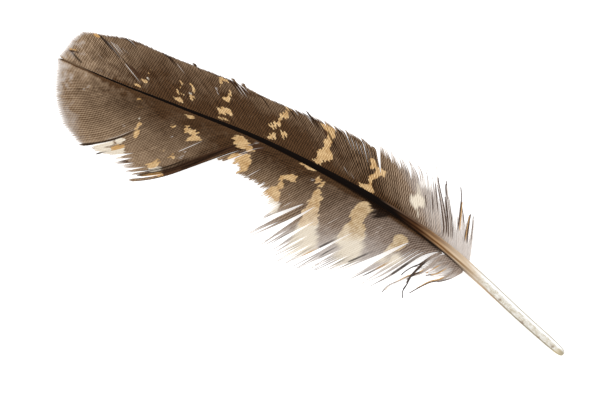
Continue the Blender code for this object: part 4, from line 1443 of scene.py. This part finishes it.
@dataclass(frozen=True)
class WebFinish:
    """Colours of a vane.

    Each pair is the dark between two barbs and the light along a barb; the light along a
    barb is partly a painted highlight, and the dark between barbs partly painted shade.
    How far the web turns from the deep to the light pair depends on the station and on
    the share of the barb's length, as the fields below say.

    tip: stations between which the tip of the feather grows lighter
    tip_light: how light it gets there
    outer: how much lighter the outer ends of the barbs are
    rear: stations between which the vane grows lighter and greyer towards the quill
    rear_light: how light it gets there, by the shaft and as gain towards the margin
    shadow: how dark the web is where it rolls down to the shaft
    front: how much lighter the outer half is ahead of the vane's middle
    core: how much darker the vane's middle is
    band: how much lighter it is behind that
    stub: how much lighter the last barbs before the quill are
    contrast: how strongly single barbs stand out
    hatch: how strongly the fine stripes across the barbs stand out
    root_shade: how dark the painted shade at the roots of the rear barbs is
    hairs: how dark the free ends of some rear barbs are
    """

    name: str
    tip: tuple[float, float]
    tip_light: float
    outer: float
    rear: tuple[float, float]
    rear_light: tuple[float, float]
    shadow: float
    front: float = 0.0
    core: float = 0.0
    band: float = 0.0
    stub: float = 0.0
    contrast: float = 1.0
    hatch: float = 1.0
    root_shade: float = 0.0
    hairs: float = 0.25
    deep: tuple[Colour, Colour] = (srgb(18, 8, 2), srgb(100, 71, 46))
    light: tuple[Colour, Colour] = (srgb(92, 68, 46), srgb(186, 160, 132))
    grey: tuple[Colour, Colour] = (srgb(94, 76, 64), srgb(182, 164, 150))
    cream: Colour = srgb(239, 229, 211)
    buff: tuple[Colour, Colour] = (srgb(184, 143, 92), srgb(238, 207, 157))
    dun: tuple[Colour, Colour] = (srgb(182, 155, 117), srgb(228, 208, 174))
    ochre: Colour = srgb(203, 160, 102)
    brown: Colour = srgb(72, 49, 33)
    bare: Colour = srgb(226, 216, 208)
    white: Colour = srgb(250, 246, 241)
    faded: Colour = srgb(222, 214, 208)
    dark_and_shade: Colour = srgb(18, 8, 4)
    roughness: float = 0.7
    gloss: float = 0.04

    def lightness(self, paint: Paint, cloud: Shade, mottle: Shade) -> Shade:
        """How far the web has turned from deep to light.

        Args:
            paint: the material.
            cloud: broad noise.
            mottle: finer noise.

        Returns:
            0 for the deep pair, 1 for the light pair, more for paler still.
        """
        share = paint.point_value("share")
        run = paint.point_value("run")
        station = paint.point_value("station") + (cloud - 0.5) * 10.0
        tip = paint.step(station + share * 6.0, *self.tip) * self.tip_light
        outer = share * share * self.outer
        rear = paint.step(station - share * 3.0, *self.rear)
        rear = rear * (share * self.rear_light[1] + self.rear_light[0])
        # The painted shadow by the shaft fades out towards the quill
        worn = paint.step(station, 41.0, 32.0)
        shadow = (1.0 - paint.step(run, 0.0, 3.2)) * (1.0 - worn * 0.9) * self.shadow
        front = paint.step(share, 0.2, 0.6) * paint.step(station, 74.0, 80.0) * self.front
        front = front * (1.0 - paint.step(station, 98.0, 108.0))
        core = paint.step(abs(station - 70.0), 12.0, 5.0) * self.core
        core = core * paint.step(share, 0.8, 0.5) - paint.step(abs(station - 54.5), 6.0, 2.5) * self.band
        rear = rear + paint.step(station, 36.0, 30.0) * self.stub
        spotted = paint.step(station, 96.0, 110.0) * 1.5 + 0.4
        clouding = (cloud - 0.5) * 0.5 + (mottle - 0.5) * spotted
        return tip + outer + front + rear - shadow - core + clouding

    def build(self) -> bpy.types.Material:
        """Make the material."""
        paint = Paint(self.name)
        place = paint.place()
        across = paint.point_value("across")
        free = paint.point_value("free")
        own = paint.point_value("own")
        run = paint.point_value("run")
        under = paint.point_value("under")
        cloud = paint.noise(place, 0.22, 3.0)
        mottle = paint.noise(place, 0.9, 4.0)
        grain = paint.noise(place, 5.0, 3.0)

        # Barb by barb: a light ramus between darker barbules. The light along the ramus is
        # partly a painted highlight, and the dark at the borders partly painted shade between barbs
        streak = paint.noise(paint.join(own * 60.0, run * 0.8, 0.0), 1.0, 3.0)
        waves = {"Vector": place, "Scale": 0.63, "Distortion": 4.0, "Detail": 1.0, "Detail Scale": 0.7}
        weave = paint.node("ShaderNodeTexWave", None, waves, "Fac")
        ramus = 1.0 - paint.step(abs(across), 0.15, 0.62)
        strokes = (ramus - 0.5) * 0.62 + own * 0.2 + (streak - 0.5) * 0.6
        line = strokes * self.contrast + (weave - 0.5) * 0.5 * self.hatch + 0.45
        lightness = self.lightness(paint, cloud, mottle)
        greyed = paint.step(paint.point_value("station"), *self.rear)
        deep = paint.mix(line, *self.deep)
        pale = paint.mix(greyed, paint.mix(line, *self.light), paint.mix(line, *self.grey))
        web = paint.mix(lightness, deep, pale)
        web = paint.mix((lightness - 1.0) * 0.8, web, self.faded)

        # Markings: their borders step from barb to barb, and the dark ones, partly painted shadow, come
        # last
        blend = line * 0.75 + (mottle - 0.5) * 1.6 + 0.1
        share = paint.point_value("share")
        paled = paint.step(share + (mottle - 0.5) * 0.2, 0.3, 0.56)
        dun = paint.mix(paled * 0.9, paint.mix(blend, *self.dun), self.cream)
        buff = paint.mix(greyed, paint.mix(blend, *self.buff), dun)
        blur = greyed * 0.12
        jag = (streak - 0.5) * 0.6 + (grain - 0.5) * 0.2
        for tone, colour, soft, rough in (
            (Tone.BROWN, self.brown, 0.2, 1.0),
            (Tone.CREAM, self.cream, greyed * 0.55 + 0.14, 1.0),
            (Tone.BUFF, buff, 0.08, 1.0),
            (Tone.OCHRE, self.ochre, 0.1, 1.0),
            (Tone.WHITE, self.white, 0.5, 0.5),
            (Tone.LIGHT, self.bare, 0.2, 0.3),
            (Tone.DARK, paint.mix(line - 0.5, self.dark_and_shade, self.brown), 0.25, 0.6),
        ):
            border = blur + soft
            inside = paint.step(paint.point_value(tone.value) + jag * rough, 0.0 - border, border)
            if tone is Tone.LIGHT:
                inside = inside * (ramus * 0.85 + 0.1)
            shaded = paint.tint(colour, (1.0 - line) * 0.38, (0.6, 0.52, 0.44))
            web = paint.mix(inside * 0.95, web, shaded)
        # The last mask is the dark one, partly painted shadow, which stays dark at worn ends
        dark_and_shade_mask = inside

        # Painted shade at the roots, worn ends and dark hairs
        station = paint.point_value("station") + (cloud - 0.5) * 4.0
        shaded_roots = paint.step(run, 1.15, 0.4) * paint.step(station, 62.0, 54.0)
        shaded_roots = shaded_roots * paint.step(station, 30.0, 36.0) * self.root_shade
        web = paint.mix(shaded_roots, web, self.dark_and_shade)
        worn = paint.step(free + (grain - 0.5) * 0.4, 0.1, 0.9) * (1.0 - dark_and_shade_mask * 0.8)
        kept = paint.step(own, 0.05, 0.42)
        web = paint.mix(worn * (0.85 - kept * 0.45), web, self.faded)
        hair = paint.step(abs(own - 0.2), 0.12, 0.06) * paint.step(free, 0.05, 0.5) * greyed
        web = paint.mix(hair * self.hairs, web, self.brown)
        web = paint.mix(under * 0.35, web, self.faded)
        paint.finish("Base Color", web)
        paint.finish("Roughness", self.roughness - ramus * 0.16 + (grain - 0.5) * 0.2)
        paint.finish("Specular IOR Level", self.gloss)
        paint.bump(grain + paint.noise(place, 14.0, 2.0) * 0.6, 0.02)
        return paint.material


LEADING_FINISH = WebFinish(
    "leading_web", tip=(97.0, 122.0), tip_light=0.92, outer=0.45, rear=(51.0, 29.0),
    rear_light=(1.7, 0.2), shadow=0.25, core=0.16, band=0.08, stub=0.2, contrast=1.2, hatch=1.2,
)
TRAILING_FINISH = WebFinish(
    "trailing_web", tip=(101.0, 123.0), tip_light=0.8, outer=0.95, rear=(66.0, 38.0),
    rear_light=(0.45, 1.25), shadow=1.0, front=0.3, core=0.1, stub=0.5, contrast=0.85, hatch=0.55,
    root_shade=0.95, hairs=0.65,
)


class Vane:
    """One vane, as separate barbs with their barbules."""

    def __init__(self, size: VaneSize, line: ShaftLine, finish: WebFinish) -> None:
        """Keep what the vane is made from.

        Args:
            size: its sizes.
            line: where the shaft runs.
            finish: its colours.
        """
        self.size = size
        self.line = line
        self.finish = finish
        self.dice = np.random.default_rng(size.seed)

    def web_curves(self, web: Web) -> Curves:
        """Barbs of one web.

        Args:
            web: the stretch of vane.

        Returns:
            Its barbs, from the tip of the feather towards the quill.
        """
        size, line = self.size, self.line
        first, last = web.barbs[0].root, web.barbs[-1].root
        count = max(2, round((first - last) / size.pitch) + 1)
        root = np.linspace(first, last, count)
        keys = np.array([astuple(barb) for barb in reversed(web.barbs)])
        columns = between(root, keys[:, 0], keys[:, 1:]).T[..., None]
        length, leave, spread, close, held, pale = columns
        for stray in size.strays:
            chosen = np.abs(root - stray.station) < stray.width / 2
            length = length + chosen[:, None] * stray.longer
        full = length * (1 - web.ragged * self.dice.random(count)[:, None] ** 1.5)
        share = np.linspace(0, 1, size.samples)
        run = share * full
        opened = (spread - leave) * smooth(run / web.opening)
        closed = (close - spread) * smooth((run - length + web.hook) / web.hook)
        angle = leave + opened + closed
        turn = np.radians((angle[:, 1:] + angle[:, :-1]) / 2)
        steps = np.diff(run, axis=1)
        lean, reach = (
            np.pad(np.cumsum(wave(turn) * steps, axis=1), ((0, 0), (1, 0))) for wave in (np.cos, np.sin)
        )
        along = line.along(root)
        outward = size.side * np.column_stack((along[:, 1], -along[:, 0]))
        start = line.at(root) + outward * (line.width(root) * size.insertion)[:, None]
        plan = start[:, None] + lean[..., None] * along[:, None] + reach[..., None] * outward[:, None]
        held = 1 - (1 - held) * (0.85 + 0.3 * self.dice.random(count)[:, None])
        free = np.clip((share - held) / (1.02 - held), 0, 1)
        fade = np.clip(1 - (full - run) / pale, 0, 1) * web.fade
        tones = [None] * count
        curves = Curves(root, plan, free, fade, np.zeros_like(free), np.ones_like(free), tones)
        self.gather(curves, web)
        return curves

    def gather(self, curves: Curves, web: Web) -> None:
        """Draw the free ends into tufts and let them wander.

        Args:
            curves: the web's barbs, which are changed.
            web: how tufted and splayed they are.
        """
        sideways = self.sideways(curves.plan, curves.root)
        parted = [np.searchsorted(-curves.root, -split.station) for split in self.size.splits]
        least, most = self.size.tuft
        number = 0
        while number < len(curves):
            end = number + int(self.dice.integers(least, most + 1))
            end = min([end, len(curves)] + [part for part in parted if part > number])
            group = np.arange(number, end)
            middle = curves.plan[group].mean(axis=0)[None]
            pull = (web.tufted * curves.free[group] ** 1.3)[..., None]
            curves.plan[group] += (middle - curves.plan[group]) * pull
            number = end
        phase = self.dice.random((len(curves), 1)) * 2 * math.pi
        speed = 2 + 5 * self.dice.random((len(curves), 1))
        share = np.linspace(0, 1, curves.plan.shape[1])[None]
        wander = web.splay * curves.free**1.5 * np.sin(phase + speed * share)
        wander += web.splay * 0.35 * curves.free * self.dice.normal(size=(len(curves), 1))
        curves.plan += wander[..., None] * sideways

    def sideways(self, plan: np.ndarray, root: np.ndarray) -> np.ndarray:
        """Unit vectors square to the barbs, towards the tip of the feather.

        Args:
            plan: plan points, one barb a row.
            root: stations of the barbs' roots.

        Returns:
            One vector for each point.
        """
        way = unit(np.gradient(plan, axis=1))
        square = np.stack((-way[..., 1], way[..., 0]), axis=-1)
        along = self.line.along(root)[:, None]
        sign = np.sign((square * along).sum(axis=-1).mean(axis=1))
        return square * sign[:, None, None]

    def open_splits(self, curves: Curves) -> None:
        """Push barbs apart at each split.

        Args:
            curves: the barbs, which are changed.
        """
        distance = curves.distance
        length = distance[:, -1:]
        sideways = self.sideways(curves.plan, curves.root)
        push = np.zeros_like(distance)
        for split in self.size.splits:
            offset = curves.root - split.station
            near = np.clip(1 - np.abs(offset) / split.pull, 0, 1) ** 1.2
            run = np.maximum(length - split.opens, 1.0)
            share = np.clip((distance - split.opens) / run, 0, 1)
            push += (np.sign(offset) * near)[:, None] * 0.5 * split.gap * share**0.6
        curves.plan += push[..., None] * sideways

    def strand_curves(self, strand: Strand) -> Curves:
        """Barbs of one loose lock.

        Args:
            strand: the lock.

        Returns:
            Its barbs.
        """
        size = self.size
        path = np.array(strand.path)
        fine = curve_through(path, 12)
        run = run_along(fine)
        share = np.linspace(0, 1, size.samples)
        spine = between(share * run[-1], run, fine)
        station = self.line.nearest(path[:1])[1]
        sideways = self.sideways(spine[None], station)[0]
        place = np.linspace(1, -1, len(strand.tones))
        bulge = strand.spread[1] * 2 * share * (1 - share)
        wide = strand.spread[0] * (1 - share) ** 2 + bulge + size.lock_tip
        jitter = self.dice.normal(size=(len(strand.tones), 1)) * 0.12 * share[None] ** 2
        offset = place[:, None] * wide[None] / 2 + jitter
        plan = spine[None] + offset[..., None] * sideways[None]
        shorter = 1 - 0.3 * self.dice.random(len(strand.tones)) * (np.abs(place) > 0.3)
        for number, keep in enumerate(shorter):
            plan[number] = between(share * keep, share, plan[number])
        shares = (
            np.clip((share - 0.5) / 0.55, 0, 1),
            np.clip(share * 2 - 1, 0, 1) * strand.fade,
            strand.lift * np.sin(np.pi * share * 0.62),
            np.interp(share, strand.coloured, (0, 1)),
        )
        tables = (row[None].repeat(len(place), axis=0) for row in shares)
        roots = station + place * strand.spread[0] / 2
        return Curves(roots, plan, *tables, list(strand.tones), loose=True)

    def heights(self, places: np.ndarray) -> np.ndarray:
        """Heights of the middle of the web above the surface.

        Args:
            places: plan points in an array of any shape, x and y last.

        Returns:
            One height for each point.
        """
        size, line = self.size, self.line
        away, station = line.nearest(places.reshape(-1, 2))
        seat = line.belly(station) + size.seat_height * line.width(station) * line.size.depth_to_width
        thin = np.minimum(away / size.thickness_span, 1)
        margin = (size.root_thickness + (size.edge_thickness - size.root_thickness) * thin) / 2
        fall = np.cos(0.5 * np.pi * np.minimum(away / size.span, 1)) ** size.fall_sharpness
        return (margin + np.maximum(seat - margin, 0) * fall).reshape(places.shape[:-1])

    def half_widths(self, plan: np.ndarray) -> tuple[np.ndarray, np.ndarray]:
        """Half the distance to the neighbours on either side.

        Args:
            plan: plan points, one barb a row.

        Returns:
            The half widths towards the tip and towards the quill.
        """
        halves = []
        for shift in (1, -1):
            other = np.roll(plan, shift, axis=0)
            start, way = other[:, None, :-1], np.diff(other, axis=1)[:, None]
            to = plan[:, :, None] - start
            share = np.clip((to * way).sum(-1) / np.maximum((way * way).sum(-1), 1e-9), 0, 1)
            gap = np.linalg.norm(to - share[..., None] * way, axis=-1).min(axis=2)
            halves.append(np.minimum(gap / 2 * self.size.overlap, self.size.widest_half))
        halves[0][0] = self.size.outer_half
        halves[1][-1] = self.size.outer_half
        return halves[0], halves[1]

    def build(self) -> bpy.types.Object:
        """Make the piece that stands for the frame's vane."""
        size = self.size
        names = ("station", "share", "run", "across", "free", "own", "under")
        sheet = Sheet(names + tuple(tone.value for tone in Tone))
        stretches = [self.web_curves(web) for web in size.webs]
        curves = merge(stretches)
        sides = self.half_widths(curves.plan)
        self.open_splits(curves)
        shapes = [(curves, *sides)]
        for strand in size.strands:
            lock = self.strand_curves(strand)
            halves = self.half_widths(lock.plan)
            shapes.append((lock, *(np.minimum(half, size.lock_half) for half in halves)))
        total = sum(len(curve) for curve, _, _ in shapes)
        cells = BakeCells(total)
        for curve, tipward, quillward in shapes:
            self.add_barbs(sheet, cells, curve, tipward, quillward)
        self.add_barbules(sheet, [shape[0] for shape in shapes])
        piece = sheet.build(size.name, self.finish.build(), smooth=False)
        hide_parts(size.node)
        LOG.info("%s: %d barbs, %d faces", size.name, total, len(sheet.faces))
        return piece

    def tones(
        self, places: np.ndarray, curves: Curves, number: int, run: np.ndarray, across: np.ndarray
    ) -> dict[str, np.ndarray]:
        """Depth inside the markings of each tone.

        Args:
            places: plan points, one a row.
            curves: the barbs.
            number: the barb that the points belong to.
            run: their distances from its root.
            across: where they lie between its ramus and its borders.

        Returns:
            One array for each tone, by its name.
        """
        own = curves.tone[number]
        depths = {}
        for kind in Tone:
            depth = np.full(len(places), -9.0)
            if own is None and not curves.loose:
                parts = [mark.depth(places) for mark in self.size.marks if mark.tone is kind]
                root = curves.root[number]
                drawn = [line for line in self.size.lines if line.tone is kind]
                parts += [line.depth(root, run, across) for line in drawn]
                depth = np.maximum.reduce([depth, *parts])
            elif own is kind:
                coloured = np.interp(run, curves.distance[number], curves.coloured[number])
                depth = 0.3 * (2 * coloured - 1)
            depths[kind.value] = depth
        return depths

    def add_barbs(
        self, sheet: Sheet, cells: BakeCells, curves: Curves, tipward: np.ndarray, quillward: np.ndarray
    ) -> None:
        """Add every barb's ramus with the closed web on either side of it.

        Args:
            sheet: the mesh.
            cells: where each barb goes on the bake map.
            curves: the barbs.
            tipward: half widths towards the tip.
            quillward: half widths towards the quill.
        """
        size = self.size
        count, samples = curves.free.shape
        share = np.linspace(0, 1, samples)
        sideways = self.sideways(curves.plan, curves.root)
        ramus, ridge, keel = (
            root + (tip - root) * share for root, tip in (size.ramus, size.ridge, size.keel)
        )
        ramus = ramus * (size.loose_ramus if curves.loose else 1.0)
        hold = 1 - curves.free
        ahead, behind = (np.maximum(half * hold, ramus * 1.15) for half in (tipward, quillward))
        lanes = (ahead, ramus, 0.0, -ramus, -behind, 0.0)
        bumps = (size.upper_border, size.shoulder, ridge, size.shoulder, size.lower_border, -keel)
        across = (1.0, 0.3, 0.0, -0.3, -1.0, 0.0)
        under = (0.0, 0.0, 0.0, 0.0, 0.0, 1.0)
        around = len(lanes)
        wobble = self.dice.normal(size=(count, 1)) * 0.012
        own = self.dice.random(count) - 0.5
        slide = self.dice.normal(size=count) * 0.2
        run = curves.distance
        rings = []
        for lane, bump in zip(lanes, bumps):
            offset = np.broadcast_to(lane, (count, samples))
            plan = curves.plan + offset[..., None] * sideways
            height = self.heights(plan) + bump * np.minimum(1, 0.35 + hold) + wobble
            height = np.maximum(height + curves.lift, size.lowest)
            rings.append(np.concatenate((plan, height[..., None]), axis=-1))
        points = np.stack(rings, axis=2)
        for number in range(count):
            block = points[number].reshape(-1, 3)
            way = unit(np.gradient(curves.plan[number], axis=0))
            marked = block[:, :2] + (way * slide[number]).repeat(around, axis=0)
            lying = np.tile(across, samples)
            ran = run[number].repeat(around)
            values = {
                "station": curves.root[number],
                "share": share.repeat(around),
                "run": ran,
                "across": lying,
                "free": curves.fade[number].repeat(around),
                "own": own[number],
                "under": np.tile(under, samples),
                **self.tones(marked, curves, number, ran, lying),
            }
            first = sheet.add_points(block, values)
            cell = cells.take()
            for step in range(samples - 1):
                low = first + step * around
                high = low + around
                for lane in range(around):
                    after = (lane + 1) % around
                    ring = (low + lane, low + after, high + after, high + lane)
                    sheet.add_face(ring, cell.patch(step, samples, lane))
            last = first + (samples - 1) * around
            sheet.add_face(tuple(first + lane for lane in reversed(range(around))), cell.cap(0))
            sheet.add_face(tuple(last + lane for lane in range(around)), cell.cap(1))

    def add_barbules(self, sheet: Sheet, groups: list[Curves]) -> None:
        """Add the loose barbules along the free ends.

        Args:
            sheet: the mesh.
            groups: the vane's barbs and its loose locks.
        """
        size = self.size
        parts = []
        for curves in groups:
            sideways = self.sideways(curves.plan, curves.root)
            distance = curves.distance
            for number, run in enumerate(distance):
                loose = run[-1] - np.interp(0.02, curves.free[number], run)
                count = int(loose * size.barbules_per_mm)
                if count < 1:
                    continue
                at = run[-1] - loose * (np.arange(count) + self.dice.random(count)) / count
                for side in (1, -1):
                    parts.append(self.barbules_of(curves, number, sideways[number] * side, run, at))
        points = np.concatenate([corners for corners, _ in parts])
        values = {key: np.concatenate([part[key] for _, part in parts]) for key in parts[0][1]}
        first = sheet.add_points(points.reshape(-1, 3), values)
        count = len(points)
        columns = math.ceil(math.sqrt(count / LOOSE_BAND))
        for number in range(count):
            row, column = divmod(number, columns)
            low, left = (row + 0.1) / columns, (column + 0.1) / columns
            wide = 0.8 / columns
            spots = ((left, low), (left + wide, low), (left + wide / 2, low + wide))
            corner = first + number * 3
            sheet.add_face((corner, corner + 1, corner + 2), spots)

    def barbules_of(
        self, curves: Curves, number: int, sideways: np.ndarray, run: np.ndarray, at: np.ndarray
    ) -> tuple[np.ndarray, dict[str, np.ndarray]]:
        """Barbules on one side of one barb.

        Args:
            curves: the barbs.
            number: which barb.
            sideways: unit vectors square to it, towards the barbules' side.
            run: distance of each sample from its root.
            at: distances of the barbules from its root.

        Returns:
            The corners of one triangle a barbule, and their values.
        """
        size = self.size
        plan = curves.plan[number]
        base = between(at, run, plan)
        square = between(at, run, sideways)
        way = unit(between(at, run, np.gradient(plan, axis=0)))
        free = np.interp(at, run, curves.free[number])
        shrink = 1 - 0.65 * free
        reach = size.barbule_length * shrink * (0.7 + 0.5 * self.dice.random(len(at)))
        least, most = size.barbule_angle
        turn = np.radians(least + (most - least) * self.dice.random(len(at)))
        forward, outward = reach * np.cos(turn), reach * np.sin(turn)
        tip = base + way * forward[:, None] + square * outward[:, None]
        half = way * size.barbule_width / 2
        height = self.heights(base) + np.interp(at, run, curves.lift[number])
        droop = self.dice.normal(size=len(at)) * size.barbule_droop
        corners = np.stack((base - half, base + half, tip), axis=1)
        heights = np.stack((height, height, height + droop), axis=1)
        points = np.concatenate((corners, np.maximum(heights, size.lowest)[..., None]), axis=-1)
        share = (at / run[-1]).repeat(3)
        lying = np.tile((0.35, 0.35, 0.6), len(at))
        fade = np.interp(at, run, curves.fade[number])
        values = {
            "station": np.full(len(share), curves.root[number]),
            "share": share,
            "run": at.repeat(3),
            "across": lying,
            "free": np.clip(fade + 0.15, 0, 1).repeat(3),
            "own": np.full(len(share), 0.2),
            "under": np.zeros(len(share)),
            **self.tones(corners.reshape(-1, 2), curves, number, at.repeat(3), lying),
        }
        return points, values


def smooth(share: np.ndarray) -> np.ndarray:
    """Smooth step from 0 at 0 to 1 at 1."""
    share = np.clip(share, 0, 1)
    return share * share * (3 - 2 * share)


def merge(stretches: list[Curves]) -> Curves:
    """All webs' barbs in one table."""
    names = ("root", "plan", "free", "fade", "lift", "coloured")
    tables = [np.concatenate([getattr(part, name) for part in stretches]) for name in names]
    return Curves(*tables, [tone for part in stretches for tone in part.tone])


@dataclass(frozen=True)
class BakeCell:
    """One barb's rectangle on the bake map, in which its six sides lie unrolled."""

    left: float
    low: float
    wide: float
    high: float
    edges: tuple[float, ...] = (0.0, 0.26, 0.36, 0.46, 0.72, 0.84, 0.96)

    def patch(self, step: int, samples: int, lane: int) -> tuple[Point, ...]:
        """Corners of one face of the barb.

        Args:
            step: the face's place along the barb.
            samples: points along a barb.
            lane: the face's place around it.

        Returns:
            Its four bake coordinates.
        """
        x0 = self.left + self.wide * 0.94 * step / (samples - 1)
        x1 = self.left + self.wide * 0.94 * (step + 1) / (samples - 1)
        y0 = self.low + self.high * self.edges[lane]
        y1 = self.low + self.high * self.edges[lane + 1]
        return ((x0, y0), (x0, y1), (x1, y1), (x1, y0))

    def cap(self, end: int) -> tuple[Point, ...]:
        """Corners of the face that closes one end.

        Args:
            end: 0 at the root, 1 at the tip.

        Returns:
            Its six bake coordinates.
        """
        x = self.left + self.wide * 0.97
        y = self.low + self.high * (0.25 + 0.4 * end)
        turns = [math.pi / 3 * number for number in range(6)]
        return tuple(
            (x + self.wide * 0.01 * math.cos(a), y + self.high * 0.12 * math.sin(a)) for a in turns
        )


@dataclass
class BakeCells:
    """Hands out the rectangles of the bake map, one for each barb."""

    total: int
    columns: int = 4
    taken: int = 0

    def take(self) -> BakeCell:
        """The next free rectangle."""
        rows = math.ceil(self.total / self.columns)
        column, row = divmod(self.taken, rows)
        self.taken += 1
        base = LOOSE_BAND + 0.01
        high = (1 - base) / rows
        return BakeCell(column / self.columns, base + row * high, 1 / self.columns, high)


# Surroundings


@dataclass(frozen=True)
class View:
    """The photograph's view: straight down, turned about the upright.

    width: width of the surface that it takes in
    centre: the point of the surface below it
    turn: how far it is turned, in degrees
    lens, sensor: focal length and width of the camera's sensor
    """

    width: float = 127.05
    centre: Point = (-1.26, -2.77)
    turn: float = 29.4
    lens: float = 85.0
    sensor: float = 36.0

    def build(self) -> bpy.types.Object:
        """Make the camera and set it as the scene's."""
        data = bpy.data.cameras.new("camera")
        data.lens = self.lens
        data.sensor_width = self.sensor
        data.clip_start = 0.01
        bpy.context.scene.view_settings.view_transform = "Standard"
        camera = bpy.data.objects.new("camera", data)
        height = self.width * self.lens / self.sensor
        camera.location = (self.centre[0] * MM, self.centre[1] * MM, height * MM)
        camera.rotation_euler = (0, 0, math.radians(self.turn))
        bpy.context.scene.collection.objects.link(camera)
        bpy.context.scene.camera = camera
        return camera


@dataclass(frozen=True)
class Lamp:
    """A square lamp that faces the feather: its place and side in metres, its power in watts."""

    name: str
    place: tuple[float, float, float]
    power: float
    side: float

    def build(self) -> None:
        """Hang the lamp."""
        data = bpy.data.lights.new(self.name, "AREA")
        data.energy = self.power
        data.size = self.side
        lamp = bpy.data.objects.new(self.name, data)
        lamp.location = self.place
        x, y, z = self.place
        lamp.rotation_euler = (math.atan2(math.hypot(x, y), z), 0, math.atan2(y, x) + math.pi / 2)
        bpy.context.scene.collection.objects.link(lamp)


@dataclass(frozen=True)
class Studio:
    """A pale floor under soft light."""

    floor_colour: Colour = (0.93, 0.93, 0.93)
    floor_size: float = 4.0
    floor_glow: float = 0.5
    sky: float = 0.86
    lamps: tuple[Lamp, ...] = (
        Lamp("key", (-0.35, 0.55, 0.75), 3.4, 0.7),
        Lamp("fill", (0.6, -0.5, 0.6), 1.3, 0.9),
    )

    def build(self) -> None:
        """Make the floor, the lamps and the sky."""
        half = self.floor_size / 2
        data = bpy.data.meshes.new("floor")
        corners = [(-half, -half, 0), (half, -half, 0), (half, half, 0), (-half, half, 0)]
        data.from_pydata(corners, [], [(0, 1, 2, 3)])
        paint = Paint("floor")
        speckle = paint.noise(paint.place(), 0.02, 2.0)
        paint.finish("Base Color", self.floor_colour)
        paint.finish("Roughness", 0.85 + speckle * 0.1)
        paint.finish("Specular IOR Level", 0.1)
        paint.finish("Emission Color", (1.0, 1.0, 1.0))
        paint.finish("Emission Strength", self.floor_glow)
        data.materials.append(paint.material)
        floor = bpy.data.objects.new("floor", data)
        bpy.context.scene.collection.objects.link(floor)
        for lamp in self.lamps:
            lamp.build()
        world = bpy.data.worlds.new("sky")
        world.use_nodes = True
        sky = world.node_tree.nodes["Background"]
        sky.inputs["Color"].default_value = (1, 1, 1, 1)
        sky.inputs["Strength"].default_value = self.sky
        bpy.context.scene.world = world


def main() -> None:
    """Build the feather and its surroundings."""
    logging.basicConfig(level=logging.INFO, format="%(message)s")
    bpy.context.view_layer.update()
    line = ShaftLine(ShaftSize())
    shaft = Shaft(line).build()
    LOG.info("%s: %d faces", shaft.name, len(shaft.data.polygons))
    for size, finish in ((LEADING, LEADING_FINISH), (TRAILING, TRAILING_FINISH)):
        Vane(size, line, finish).build()
    Studio().build()
    View().build()


if __name__ == "__main__":
    main()
